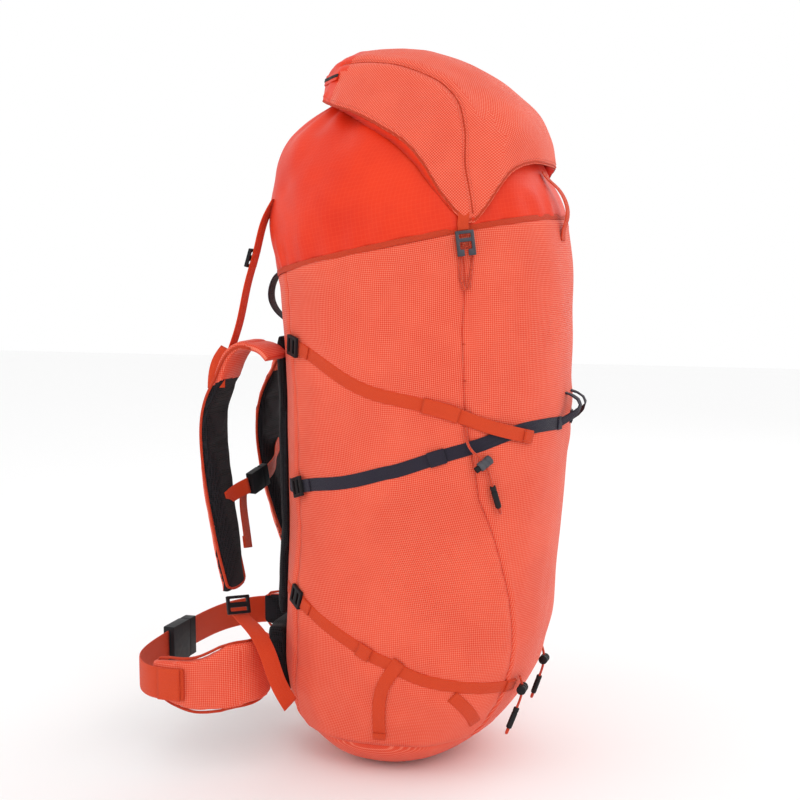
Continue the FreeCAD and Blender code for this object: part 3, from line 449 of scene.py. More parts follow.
bag = Ringed(BAG, 0, BAG_TALL)
lid_rings = Ringed(LID, LID_LOW, LID_TOP)
FRONT_SEAM = np.array(((-20, 52), (38, 58), (104, 72), (218, 98), (336, 131), (425, 142), (523, 145),
        (700, 141)))
BACK_SEAM = np.array(((-20, 70), (38, 82), (110, 102), (180, 112), (420, 114), (700, 114)))


def seam_turn(level, table, back):
    """Turn at which a seam curve of level and half width crosses the bag."""
    half_width = bag.section(level)[0]
    wide = np.interp(level, table[:, 0], table[:, 1])
    turn = np.degrees(np.arcsin(np.clip(wide / half_width, 0, 0.995) ** (POWER / 2)))
    return 180 - turn if back else turn


def rim_level(turn):
    """Level of the seam between the bag and its collar."""
    level = np.full(np.shape(turn), float(RIM_LEVEL))
    for _ in range(6):
        level = RIM_LEVEL - RIM_SLOPE * bag.point(level, turn)[..., 1]
    return level


def perlin(places, size, seed=0.0):
    """Smooth noise, about -1 to 1, of places in millimetres."""
    flat = places.reshape(-1, 3) / size + seed
    values = [noise.noise(Vector(place)) for place in flat]
    return np.array(values).reshape(places.shape[:-1])


# Left-hand strap routes on the bag: level, turn and extra gap.
SIDE_STRAPS = {
    "top": ((500, 131, 0), (494, 124, 0), (470, 107, 0), (447, 88, 0), (437, 74, 0.6),
            (421, 58, 2.6), (403, 33, 3.4)),
    "middle": ((338, 133, 0), (344, 122, 0), (350, 107, 0), (369, 87, 0), (385, 73, 0), (397, 58, 0),
               (411, 39, 0), (414, 20, 0), (412, 8, 0)),
    "lower": ((205, 130, 0), (192, 120, 0), (174, 106, 0), (151, 91, 0), (129, 75, 0),
              (119, 57, 0), (112, 38, 0), (108, 21, 0)),
}


def spline(rows, step):
    """Natural cubic spline through the rows, sampled about every step of its length."""
    rows = np.asarray(rows, float)
    chords = np.concatenate(([0], np.cumsum(np.linalg.norm(np.diff(rows, axis=0), axis=1))))
    count = len(rows)
    gaps = np.diff(chords)
    system, target = np.zeros((count, count)), np.zeros_like(rows)
    system[0, 0] = system[-1, -1] = 1
    for i in range(1, count - 1):
        system[i, i - 1], system[i, i], system[i, i + 1] = gaps[i - 1], 2 * (gaps[i - 1] + gaps[i]), gaps[i]
        target[i] = 6 * ((rows[i + 1] - rows[i]) / gaps[i] - (rows[i] - rows[i - 1]) / gaps[i - 1])
    bends = np.linalg.solve(system, target)
    places = np.linspace(0, chords[-1], max(3, int(chords[-1] / step) + 1))
    index = np.clip(np.searchsorted(chords, places, side="right") - 1, 0, count - 2)
    before, after = (places - chords[index])[:, None], (chords[index + 1] - places)[:, None]
    gap = gaps[index][:, None]
    start = rows[index] / gap - bends[index] * gap / 6
    end = rows[index + 1] / gap - bends[index + 1] * gap / 6
    return (bends[index] * after ** 3 + bends[index + 1] * before ** 3) / (6 * gap) + start * after + end * before


def on_bag(route, step=3.0, gap=0.0, surface=None):
    """Places and normals along a route of level, turn and gap, in millimetres."""
    surface = surface or bag
    rough = spline(route, 6)
    length = np.linalg.norm(np.diff(surface.point(rough[:, 0], rough[:, 1]), axis=0), axis=1).sum()
    rows = np.array([np.interp(np.linspace(0, 1, int(length / step) + 2), np.linspace(0, 1, len(rough)),
            rough[:, i])
                     for i in range(3)]).T
    places, normals = surface.point(rows[:, 0], rows[:, 1]), surface.normal(rows[:, 0], rows[:, 1])
    return places + normals * (rows[:, 2] + gap)[:, None], normals


STRAP_LINES = {}
for strap_name, strap_route in SIDE_STRAPS.items():
    line = on_bag([row for row in strap_route], 8)[0]
    STRAP_LINES[strap_name] = np.concatenate((line, line * (-1, 1, 1)))


def near_line(places, line):
    """Distance from each place to the nearest point of a line."""
    flat = places.reshape(-1, 3)
    best = np.full(len(flat), 1e9)
    for spot in line:
        best = np.minimum(best, np.linalg.norm(flat - spot, axis=1))
    return best.reshape(places.shape[:-1])


def swell(places, *_):
    """How far the stuffed fabric stands off its smooth outline, in millimetres."""
    lumps = 2.6 * perlin(places, 120, 3.1) + 1.3 * perlin(places, 55, 7.7)
    upright = places * (1, 1, 0.35)
    folds = 0.9 * perlin(upright, 26, 1.3)
    result = lumps + folds
    for line in STRAP_LINES.values():
        away = near_line(places, line)
        pinch = np.exp(-(away / 9) ** 2)
        shoulder = np.exp(-((away - 26) / 14) ** 2)
        result += -1.5 * pinch + 1.2 * shoulder
    slant = places @ np.array((0.2, 0.62, -0.76))
    creases = np.sin(slant / 8.5 + 2.2 * perlin(places, 60,
            5.5)) * np.exp(-((places[..., 2] - 105) / 60) ** 2)
    return result + 0.55 * creases


# --------------------------------------------------------------------- mesh helpers
def new_object(name, verts, faces, materials, smooth=True):
    """Mesh object in metres from millimetre places."""
    mesh = bpy.data.meshes.new(name)
    mesh.from_pydata([tuple(v) for v in np.asarray(verts) * MM], [], faces)
    mesh.validate()
    for material in materials:
        mesh.materials.append(material)
    if smooth:
        mesh.polygons.foreach_set("use_smooth", [True] * len(mesh.polygons))
    item = bpy.data.objects.new(name, mesh)
    bpy.context.scene.collection.objects.link(item)
    return item


def set_weave(item, across, along):
    """Store the cloth's coordinates, in millimetres, on the mesh."""
    attribute = item.data.attributes.new("weave", "FLOAT_VECTOR", "POINT")
    values = np.zeros((len(item.data.vertices), 3), np.float32)
    values[:, 0], values[:, 1] = np.ravel(across), np.ravel(along)
    attribute.data.foreach_set("vector", values.ravel())


def grid_faces(rows, columns, closed=False):
    """Quads of a grid of rows by columns; closed joins the last column to the first."""
    faces = []
    for i in range(rows - 1):
        for j in range(columns if closed else columns - 1):
            k = (j + 1) % columns
            faces.append((i * columns + j, i * columns + k, (i + 1) * columns + k, (i + 1) * columns + j))
    return faces


def arc_coordinates(places):
    """Running length across and along a grid of places, from its middle column."""
    across = np.concatenate((np.zeros((places.shape[0], 1)), np.cumsum(
        np.linalg.norm(np.diff(places, axis=1), axis=2), axis=1)), axis=1)
    across = across - across[:, [places.shape[1] // 2]]
    along = np.concatenate((np.zeros((1, places.shape[1])), np.cumsum(
        np.linalg.norm(np.diff(places, axis=0), axis=2), axis=0)), axis=0)
    return across, along


def panel(name, levels, turns, material, node, relief=swell, edge_roll=True):
    """One sewn fabric panel as a fine grid whose edges roll in to the seams."""
    places, normals = bag.point(levels, turns), bag.normal(levels, turns)
    height = relief(places, levels, turns)
    across, along = arc_coordinates(places)
    if edge_roll:
        rows, columns = levels.shape
        i, j = np.meshgrid(np.arange(rows), np.arange(columns), indexing="ij")
        side_step = np.linalg.norm(places[rows // 2, 1] - places[rows // 2, 0])
        up_step = np.linalg.norm(places[1, columns // 2] - places[0, columns // 2])
        edge = np.minimum(np.minimum(j, columns - 1 - j) * side_step, np.minimum(i, rows - 1 - i) * up_step)
        height = height - 2.2 * np.exp(-(edge / 3.0) ** 2) + 0.7 * np.exp(-((edge - 9) / 5) ** 2)
        pucker = np.sin(along / 4.3 + 2.5 * perlin(places, 30, 9.1)) * np.exp(-(np.minimum(
            j, columns - 1 - j) * side_step / 11) ** 2)
        height = height + 0.45 * pucker
    shaped = places + normals * height[..., None]
    item = new_object(name, shaped.reshape(-1, 3), grid_faces(*levels.shape), [material])
    set_weave(item, across, along)
    shell = item.modifiers.new("cloth_edge", "SOLIDIFY")
    shell.thickness = 0.9 * MM
    shell.offset = -1
    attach(item, "root")
    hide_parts(node)
    return item


def build_bag():
    """Front, sides, back and bottom of the bag, and the collar above them."""
    step = 3.4
    up = int(590 / step)
    share = np.linspace(0, 1, up)[:, None]
    bottom = 38.0

    def between(first, last, width):
        """Levels and turns of a panel between two functions of level."""
        columns = int(width / step)
        across = np.linspace(0, 1, columns)[None, :]
        levels = np.full((up, columns), 300.0)
        for _ in range(5):
            a, b = first(levels), last(levels)
            turns = a + (b - a) * across
            levels = bottom + (rim_level(turns) - bottom) * share
        return levels, turns

    front = between(lambda z: -seam_turn(z, FRONT_SEAM, False), lambda z: seam_turn(z, FRONT_SEAM, False),
            340)
    panel("front_cloth", *front, RIPSTOP, "front_panel")
    left = between(lambda z: seam_turn(z, FRONT_SEAM, False), lambda z: seam_turn(z, BACK_SEAM, True), 260)
    panel("left_side_cloth", *left, RIPSTOP, "left_side_panel")
    right = between(lambda z: -seam_turn(z, BACK_SEAM, True), lambda z: -seam_turn(z, FRONT_SEAM, False), 260)
    panel("right_side_cloth", *right, RIPSTOP, "right_side_panel")
    back = between(lambda z: seam_turn(z, BACK_SEAM, True), lambda z: 360 - seam_turn(z, BACK_SEAM, True),
            240)
    panel("back_cloth", *back, RIPSTOP, "back_panel")
    build_bottom(bottom)
    build_collar()


def build_bottom(bottom):
    """Rounded base: rings from the seam down to the flat, then in to the middle."""
    turns = np.linspace(0, 360, 260, endpoint=False)
    levels = bottom * (np.linspace(1, 0, 16) ** 1.5)
    rings, shares = [], np.linspace(1, 0.04, 14)[1:]
    for level in levels:
        places = bag.point(np.full(260, level), turns)
        normals = bag.normal(np.full(260, level), turns)
        lift = swell(places) * min(1, level / 20) - 2.2 * math.exp(-((bottom - level) / 3) ** 2)
        rings.append(places + normals * lift[:, None])
    base = rings[-1].copy()
    base[:, 2] = 0
    rings[-1] = base
    centre = base.mean(axis=0)
    for share in shares:
        rings.append(centre + (base - centre) * share)
    grid = np.array(rings)
    faces = grid_faces(len(rings), 260, True)
    last = (len(rings) - 1) * 260
    faces.append(tuple(last + i for i in range(260)))
    item = new_object("bottom_cloth", grid.reshape(-1, 3), faces, [RIPSTOP])
    set_weave(item, grid[..., 0], grid[..., 1] + grid[..., 2])
    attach(item, "root")
    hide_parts("bottom_panel")


def collar_folds(places, levels, turns):
    """Loose cloth: gathers above the seam and folds that draw in to the mouth."""
    rise = (levels - rim_level(turns)) / (BAG_TALL - rim_level(turns))
    gathers = np.sin(np.radians(turns) * 34 + 3.0 * perlin(places, 70, 2.2))
    radial = np.sin(np.radians(turns) * 17 + 2.6 * perlin(places, 90, 4.4))
    drawn = np.clip((rise - 0.45) / 0.55, 0, 1)
    result = 3.0 * perlin(places, 75, 6.3) + 1.4 * perlin(places, 30, 8.8)
    result += 0.9 * gathers * np.exp(-(rise / 0.16) ** 2) + 2.6 * radial * drawn
    slant = places @ np.array((0.1, 0.80, 0.60))
    result += 1.3 * np.sin(slant / 15 + 2.4 * perlin(places, 80, 1.9)) * (1 - drawn) * np.clip(rise * 4, 0, 1)
    return result - 1.6 * np.exp(-(rise / 0.02) ** 2)


def build_collar():
    """Extension collar, from the rim seam to its gathered mouth."""
    turns = np.linspace(0, 360, 330, endpoint=False)[None, :]
    share = np.linspace(0, 1, 84)[:, None]
    rim = rim_level(turns)
    levels = rim + (BAG_TALL - 3 - rim) * share
    turns = np.broadcast_to(turns, levels.shape)
    places, normals = bag.point(levels, turns), bag.normal(levels, turns)
    shaped = places + normals * (collar_folds(places, levels, turns) - 1.0)[..., None]
    item = new_object("collar_cloth_shell", shaped.reshape(-1, 3), grid_faces(*levels.shape, True),
            [COLLAR_CLOTH])
    across, along = arc_coordinates(places)
    set_weave(item, across, along)
    shell = item.modifiers.new("cloth_edge", "SOLIDIFY")
    shell.thickness = 0.8 * MM
    shell.offset = -1
    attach(item, "root")
    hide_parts("collar")


# --------------------------------------------------------------------------- webbing
def web_strip(name, places, normals, width, material, body="root", replaces=(), thick=1.5, slot="webbing"):
    """Woven band along the places, with rounded selvedges; widths may vary."""
    places, normals = np.asarray(places, float), np.asarray(normals, float)
    ahead = np.gradient(places, axis=0)
    ahead /= np.linalg.norm(ahead, axis=1, keepdims=True)
    normals = normals - ahead * (normals * ahead).sum(axis=1, keepdims=True)
    normals /= np.linalg.norm(normals, axis=1, keepdims=True)
    side = np.cross(ahead, normals)
    width = np.broadcast_to(np.asarray(width, float), (len(places),))
    half = thick / 2
    outline = ((-0.5, 0), (-0.482, 0.72), (-0.44, 1), (-0.25, 1.04), (0, 1.06), (0.25, 1.04), (0.44, 1),
               (0.482, 0.72), (0.5, 0), (0.482, -0.72), (0.44, -1), (0, -1), (-0.44, -1), (-0.482, -0.72))
    rings = [places + side * (width * across)[:, None] + normals * half * lift for across, lift in outline]
    grid = np.stack(rings, axis=1)
    columns = len(outline)
    faces = grid_faces(len(places), columns, True)
    faces.append(tuple(range(columns - 1, -1, -1)))
    faces.append(tuple((len(places) - 1) * columns + i for i in range(columns)))
    item = new_object(name, grid.reshape(-1, 3), faces, [material])
    run = np.concatenate(([0], np.cumsum(np.linalg.norm(np.diff(places, axis=0), axis=1))))
    across = np.array([point[0] for point in outline])[None, :] * width[:, None]
    set_weave(item, across, np.broadcast_to(run[:, None], across.shape))
    if body:
        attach(item, body)
    if replaces:
        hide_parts(*replaces)
    return item


def joined(name, items):
    """Join mesh objects that ride together into one piece."""
    bpy.ops.object.select_all(action="DESELECT")
    for item in items:
        item.select_set(True)
    bpy.context.view_layer.objects.active = items[0]
    bpy.ops.object.join()
    items[0].name = name
    return items[0]


def mirror_x(places, side):
    """Left-hand places, or their mirror image for side -1."""
    return np.asarray(places, float) * (side, 1, 1)


class Skin:
    """Finished cloth that later pieces are laid on."""

    def __init__(self):
        self.verts, self.faces = [], []
        self.tree = None

    def add(self, item):
        matrix = item.matrix_world
        start = len(self.verts)
        self.verts += [matrix @ vertex.co for vertex in item.data.vertices]
        self.faces += [[start + index for index in face.vertices] for face in item.data.polygons]
        self.tree = None

    def height(self, place, normal, reach=0.02):
        """How far the cloth stands above a place along its normal, in millimetres."""
        if self.tree is None:
            self.tree = BVHTree.FromPolygons(self.verts, self.faces)
        way = Vector(normal).normalized()
        start = Vector(place) * MM + way * reach
        hit = self.tree.ray_cast(start, -way, 2 * reach)
        return (reach - hit[3]) / MM if hit[0] is not None else 0.0


skin = Skin()


def side_of(places, normals):
    """Direction across a band that runs along the places."""
    ahead = np.gradient(places, axis=0)
    side = np.cross(ahead, normals)
    return side / np.linalg.norm(side, axis=1, keepdims=True)


def laid(places, normals, width, lift, keep=0.0):
    """Places moved on to the cloth; keep is the least height above the smooth outline."""
    side = side_of(places, normals)
    heights = np.full(len(places), -9.0)
    for share in (-0.45, 0, 0.45):
        row = [skin.height(place + step * width * share, normal)
               for place, step, normal in zip(places, side, normals)]
        heights = np.maximum(heights, row)
    for _ in range(2):
        padded_row = np.pad(heights, 2, mode="edge")
        heights = np.maximum(heights, sum(padded_row[i:i + len(heights)] for i in range(5)) / 5)
    for _ in range(2):
        padded_row = np.pad(heights, 1, mode="edge")
        heights = (padded_row[:-2] + 2 * heights + padded_row[2:]) / 4
    return places + normals * np.maximum(heights + lift, keep)[:, None]


def stitches(name, places, normals, material, body="root", pitch=3.4, long=2.5, radius=0.32):
    """A row of raised thread stitches along the places."""
    run = np.concatenate(([0], np.cumsum(np.linalg.norm(np.diff(places, axis=0), axis=1))))
    count = max(2, int(run[-1] / pitch))
    verts, faces = [], []
    for i in range(count):
        spots = np.array([[np.interp(at, run, places[:, k]) for k in range(3)]
                          for at in (i * pitch, i * pitch + long / 2, i * pitch + long)])
        up = np.array([np.interp(i * pitch, run, normals[:, k]) for k in range(3)])
        up /= np.linalg.norm(up)
        ahead = spots[2] - spots[0]
        side = np.cross(ahead, up)
        side /= max(np.linalg.norm(side), 1e-9)
        first = len(verts)
        for spot, fat in ((spots[0], 0.35), (spots[1], 1.0), (spots[2], 0.35)):
            for turn in range(6):
                angle = turn * math.pi / 3
                verts.append(spot + (side * math.cos(angle) + up * math.sin(angle)) * radius * fat
                             + up * (fat - 0.6) * radius)
        for ring in range(2):
            for k in range(6):
                j = (k + 1) % 6
                base = first + ring * 6
                faces.append((base + k, base + j, base + 6 + j, base + 6 + k))
        faces.append(tuple(first + k for k in range(5, -1, -1)))
        faces.append(tuple(first + 12 + k for k in range(6)))
    item = new_object(name, verts, faces, [material])
    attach(item, body)
    return item


def rope(name, places, radius, material, body="root", sides=8):
    """Thin round bead, as of piping or a bound edge, along the places."""
    places = np.asarray(places, float)
    ahead = np.gradient(places, axis=0)
    ahead /= np.linalg.norm(ahead, axis=1, keepdims=True)
    helper = np.tile(np.array((0.31, 0.17, 0.93)), (len(places), 1))
    side = np.cross(ahead, helper)
    side /= np.linalg.norm(side, axis=1, keepdims=True)
    lift = np.cross(side, ahead)
    rings = [places + (side * math.cos(a) + lift * math.sin(a)) * radius
             for a in np.linspace(0, 2 * math.pi, sides, endpoint=False)]
    grid = np.stack(rings, axis=1)
    faces = grid_faces(len(places), sides, True)
    faces.append(tuple(range(sides - 1, -1, -1)))
    faces.append(tuple((len(places) - 1) * sides + i for i in range(sides)))
    item = new_object(name, grid.reshape(-1, 3), faces, [material])
    run = np.concatenate(([0], np.cumsum(np.linalg.norm(np.diff(places, axis=0), axis=1))))
    around = np.linspace(0, 2 * math.pi * radius, sides)[None, :]
    set_weave(item, np.broadcast_to(around, grid.shape[:2]), np.broadcast_to(run[:, None], grid.shape[:2]))
    if body:
        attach(item, body)
    return item


def lathe(name, start, way, profile, material, body="root", sides=28):
    """Turned piece: profile rows are distance along the axis and radius, in millimetres."""
    way = np.array(Vector(way).normalized())
    side = np.array(Vector(way).orthogonal().normalized())
    lift = np.cross(way, side)
    angles = np.linspace(0, 2 * math.pi, sides, endpoint=False)
    rings = [np.array(start) + way * along + (np.outer(np.cos(angles), side) + np.outer(np.sin(angles),
            lift)) * radius
             for along, radius in profile]
    faces = grid_faces(len(profile), sides, True)
    faces.append(tuple(range(sides - 1, -1, -1)))
    faces.append(tuple((len(profile) - 1) * sides + i for i in range(sides)))
    item = new_object(name, np.concatenate(rings), faces, [material])
    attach(item, body)
    return item


def box_weave(item, spin=0.0):
    """Cloth coordinates, in millimetres, read off each face's own main direction."""
    mesh = item.data
    count = len(mesh.loops)
    corner = np.zeros(count, np.int32)
    mesh.loops.foreach_get("vertex_index", corner)
    places = np.zeros(len(mesh.vertices) * 3)
    mesh.vertices.foreach_get("co", places)
    places = places.reshape(-1, 3) / MM
    normals = np.zeros(len(mesh.polygons) * 3)
    mesh.polygons.foreach_get("normal", normals)
    sizes = np.zeros(len(mesh.polygons), np.int32)
    mesh.polygons.foreach_get("loop_total", sizes)
    axis = np.repeat(np.abs(normals.reshape(-1, 3)).argmax(axis=1), sizes)
    spots = places[corner]
    first = np.where(axis == 0, spots[:, 1], spots[:, 0])
    second = np.where(axis == 2, spots[:, 1], spots[:, 2])
    values = np.zeros((count, 3), np.float32)
    values[:, 0] = first * math.cos(spin) - second * math.sin(spin)
    values[:, 1] = first * math.sin(spin) + second * math.cos(spin)
    attribute = mesh.attributes.new("weave", "FLOAT_VECTOR", "CORNER")
    attribute.data.foreach_set("vector", values.ravel())


def face_choice(item, chooser):
    """Material index per face from its centre and normal, both in millimetres' frame."""
    mesh = item.data
    count = len(mesh.polygons)
    centres, normals = np.zeros(count * 3), np.zeros(count * 3)
    mesh.polygons.foreach_get("center", centres)
    mesh.polygons.foreach_get("normal", normals)
    picked = chooser(centres.reshape(-1, 3) / MM, normals.reshape(-1, 3)).astype(np.int32)
    mesh.polygons.foreach_set("material_index", picked)


def coords(mesh):
    values = np.zeros(len(mesh.vertices) * 3)
    mesh.vertices.foreach_get("co", values)
    return values.reshape(-1, 3)


def foam_outline(name, names, side):
    """Copy of CAD pieces as one mesh; side 1 or -1 keeps only the left or right half."""
    shape = bmesh.new()
    for node in names:
        shape.from_mesh(nodes[node].data)
    if side:
        bmesh.ops.delete(shape, geom=[v for v in shape.verts if v.co.x * side > 0], context="VERTS")
    item = bpy.data.objects.new(name, bpy.data.meshes.new(name))
    shape.to_mesh(item.data)
    shape.free()
    bpy.context.scene.collection.objects.link(item)
    return item


def puffed(name, names, body, materials, chooser, voxel=4.5, shrink=1.2, cap=7, pressure=4.0,
        side=0):
    """Padded piece: the foam's outline remeshed, blown up as cloth and made smooth."""
    item = foam_outline(name, names, side)
    bpy.context.view_layer.objects.active = item
    remesh = item.modifiers.new("remesh", "REMESH")
    remesh.mode = "VOXEL"
    remesh.voxel_size = voxel * MM
    bpy.ops.object.modifier_apply(modifier="remesh")
    mesh = item.data
    start = coords(mesh)
    normals = np.zeros(len(mesh.vertices) * 3)
    mesh.vertex_normals.foreach_get("vector", normals)
    small = start - normals.reshape(-1, 3) * shrink * MM
    mesh.vertices.foreach_set("co", small.ravel())
    cloth = item.modifiers.new("cloth", "CLOTH")
    cloth.settings.use_pressure = True
    cloth.settings.uniform_pressure_force = pressure
    cloth.settings.effector_weights.gravity = 0
    cloth.settings.quality = 5
    cloth.settings.mass = 0.3
    cloth.settings.tension_stiffness = cloth.settings.compression_stiffness = 18
    cloth.settings.shear_stiffness = 10
    cloth.settings.bending_stiffness = 2
    for number in range(1, 21):
        bpy.context.scene.frame_set(number)
    grown = coords(item.evaluated_get(bpy.context.evaluated_depsgraph_get()).data)
    item.modifiers.remove(cloth)
    bpy.context.scene.frame_set(1)
    move = grown - small
    move -= move.mean(axis=0)
    length = np.linalg.norm(move, axis=1, keepdims=True)
    move *= np.minimum(1, cap * MM / np.maximum(length, 1e-9))
    mesh.vertices.foreach_set("co", (small + move).ravel())
    smooth = item.modifiers.new("smooth", "SMOOTH")
    smooth.iterations = 3
    bpy.ops.object.modifier_apply(modifier="smooth")
    finer = item.modifiers.new("finer", "SUBSURF")
    finer.levels = 1
    bpy.ops.object.modifier_apply(modifier="finer")
    for material in materials:
        item.data.materials.append(material)
    item.data.polygons.foreach_set("use_smooth", [True] * len(item.data.polygons))
    if chooser:
        face_choice(item, chooser)
    box_weave(item)
    if body:
        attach(item, body)
    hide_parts(*names)
    return item


# ------------------------------------------------------------------ webbing on the bag
def tip(places, normals):
    """Folded and stitched end of a band: a short second layer over its last length."""
    count = max(4, int(16 / np.linalg.norm(places[1] - places[0])))
    return places[-count:] + normals[-count:] * 1.7, normals[-count:]


def build_side_straps():
    """Compression straps, their stubs behind the hooks, tails, keepers and branches."""
    for name, route in SIDE_STRAPS.items():
        dark = name == "middle"
        material, slot = (WEBBING_DARK, "webbing_dark") if dark else (WEBBING, "webbing")
        thread = THREAD_DARK if dark else THREAD
        level = route[0][0] + (route[0][0] - route[1][0]) * 0.5
        main = on_bag(route, 3)
        runs = [(*main, 15, 1.0), (*on_bag(((level, 138.5, 0), (level, 143, 0), (level, 148, 0)), 2), 15,
                1.0)]
        if name == "lower":
            runs.append((*on_bag(((150, 84, 0), (120, 88, 0), (84, 88, 0), (52, 86, 0)), 3), 15, 2.8))
            runs.append((*on_bag(((108, 59, 0), (92, 50, 0), (66, 36, 0)), 3), 15, 1.0))
        if name == "middle":
            runs.append((*on_bag(((412, 9, 0), (420, 6, 5), (431, 4, 11), (440, 4, 9), (446, 4, 0)), 2), 12,
                    1.0))
        keeper = {"top": (0.56, 0.70), "middle": (0.47, 0.53), "lower": (0.36, 0.43)}[name]
        for side_name, side in SIDES:
            items = []
            for i, (places, normals, width, lift) in enumerate(runs):
                spots, ways = mirror_x(places, side), mirror_x(normals, side)
                extra = np.zeros(len(spots))
                if name == "middle" and i == 2:
                    extra = np.sin(np.linspace(0, math.pi, len(spots))) * 8
                spots = laid(spots, ways, width, lift) + ways * extra[:, None]
                items.append(web_strip(f"{side_name}_{name}_{i}", spots, ways, width, material, slot=slot))
                if i == 0:
                    first, last = [int(share * len(spots)) for share in keeper]
                    items.append(web_strip(f"{side_name}_{name}_keeper",
                            spots[first:last] + ways[first:last] * 1.9,
                                           ways[first:last], 17, material, slot=slot, thick=1.9))
                    over = tip(spots, ways)
                    items.append(web_strip(f"{side_name}_{name}_tip", *over, 15, material, slot=slot))
                    under = spots[2:9] + ways[2:9] * 1.7
                    items.append(web_strip(f"{side_name}_{name}_fold", under, ways[2:9], 14.6, material,
                            slot=slot))
                    across = side_of(spots, ways)
                    for row, shift in enumerate((-5.2, 5.2)):
                        spot_row = spots[-6:] + across[-6:] * shift + ways[-6:] * 2.7
                        stitches(f"{side_name}_{name}_stitch_{row}", spot_row, ways[-6:], thread)
                if name == "lower" and i == 2:
                    over = tip(spots, ways)
                    items.append(web_strip(f"{side_name}_{name}_tail_tip", *over, 15, material, slot=slot))
            item = joined(f"{side_name}_{name}_webbing", items)
            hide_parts(f"{side_name}_{name}_strap")


def seam_rows():
    """Thread rows beside the bag's seams and along its rim."""
    levels = np.arange(44, 640, 4.0)
    for side_name, side in SIDES:
        for seam, table, back in (("front", FRONT_SEAM, False), ("back", BACK_SEAM, True)):
            turns = seam_turn(levels, table, back)
            keep = levels < rim_level(turns) - 6
            for row, shift in enumerate((-2.6, 2.6)):
                spots = mirror_x(bag.point(levels[keep], turns[keep] + shift), side)
                ways = mirror_x(bag.normal(levels[keep], turns[keep] + shift), side)
                stitches(f"{side_name}_{seam}_seam_{row}", laid(spots, ways, 1, 0.1), ways, THREAD,
                        radius=0.26)
    turns = np.arange(-118, 119, 1.6)
    for row, shift in enumerate((-5.5,)):
        levels = rim_level(turns) + shift
        spots, ways = bag.point(levels, turns), bag.normal(levels, turns)
        stitches(f"rim_seam_{row}", laid(spots, ways, 1, 0.1), ways, THREAD, radius=0.26)
    turns = np.arange(0, 360, 2.2)
    levels = np.full(len(turns), 43.0)
    spots, ways = bag.point(levels, turns), bag.normal(levels, turns)
    stitches("base_seam", laid(spots, ways, 1, 0.1), ways, THREAD, radius=0.26)


def rim_binding():
    """Narrow folded band that covers the seam between the bag and the collar."""
    turns = np.linspace(-180, 180, 260)
    levels = rim_level(turns) + 2.0
    spots, ways = bag.point(levels, turns), bag.normal(levels, turns)
    spots = laid(spots, ways, 4, 0.0)
    web_strip("rim_band", spots, ways, 6.5, BINDING, thick=1.3)


def small_patches():
    """Stitched half-round patches beside the front seams."""
    for side_name, side in SIDES:
        angles = np.radians(np.linspace(-90, 90, 25))
        levels = 488 + 20 * np.sin(angles)
        turns = seam_turn(levels, FRONT_SEAM, False) - 7.5 * np.cos(angles) ** 0.7
        spots, ways = mirror_x(bag.point(levels, turns), side), mirror_x(bag.normal(levels, turns), side)
        stitches(f"{side_name}_half_round", laid(spots, ways, 1, 0.25), ways, THREAD, radius=0.5, pitch=2.6,
                long=2.3)
        spots = laid(spots, ways, 1, 0.15)
        rope(f"{side_name}_half_round_edge", spots, 0.55, BINDING)


def build_loops():
    """Rope strap loop over the collar and the haul loop at the back."""
    route = ((620, 5, 0), (630, 5, 1.5), (645, 5, 8.5), (662, 5, 10.5), (678, 5, 6.5), (690, 5, 1),
            (697, 5, 0))
    places, normals = on_bag(route, 3, 2.0)
    item = web_strip("rope_strap_band", places, normals, 15, WEBBING, replaces=("rope_strap_loop",))
    path = ((586, 2.4), (582, 16), (568, 28), (548, 31), (530, 20), (519, 2.4))
    spots = spline([(0, bag.section(level)[2] + reach, level) for level, reach in path], 2)
    ahead = np.gradient(spots, axis=0)
    ways = np.cross(np.array((1.0, 0, 0)), ahead)
    item = web_strip("haul_webbing", spots, ways, 20, WEBBING_DARK, replaces=("haul_loop",),
            slot="webbing_dark")
    return item


# ---------------------------------------------------------------------------- lid
LID_EDGE = ((-127, 639), (-101, 672), (-84, 699), (-61, 724), (-38, 739), (-15, 751), (8, 761),
            (34, 769), (60, 779), (92, 790))
RIDGE = ((0, 58), (40, 59), (90, 60), (130, 61), (160, 64), (176, 74), (186, 92), (190, 112), (188, 128))


def lid_floor(places):
    """Level of the lid's lower edge above or below each place."""
    edge = spline(LID_EDGE, 3)
    rear = np.interp(places[..., 1], edge[:, 0], edge[:, 1])
    share = np.clip(np.abs(places[..., 0]) / 137, 0, 1)
    front = 639 + 67 * (1 - share ** 5)
    return np.where(places[..., 1] < -127, front, rear)


def lid_base_levels(turns):
    """Lowest level of the lid's outside at each turn."""
    levels = np.arange(LID_LOW + 1.0, LID_TOP, 1.0)
    result = []
    for turn in turns:
        places = lid_rings.point(levels, np.full(len(levels), turn))
        below = np.nonzero(levels < lid_floor(places))[0]
        result.append(levels[below[-1]] if len(below) else levels[0])
    return np.array(result)


def lid_relief(places, turns):
    """Stuffed pocket: broad lumps, small folds by the rear and puckers along its edge."""
    height = 2.4 * perlin(places, 95, 11.3) + 1.2 * perlin(places, 42, 12.9) + 0.5 * perlin(places, 18, 14.2)
    away = np.abs((turns + 180) % 360 - 180)
    rear = np.clip((away - 108) / 22, 0, 1)
    height += rear * (2.6 * perlin(places, 24, 15.7) + 1.3 * perlin(places, 12, 16.1))
    stretch = places @ np.array((0.15, 0.75, -0.62))
    height += 0.8 * np.sin(stretch / 7 + 2 * perlin(places, 50, 13.3)) * np.exp(-((away - 25) / 18) ** 2)
    return height


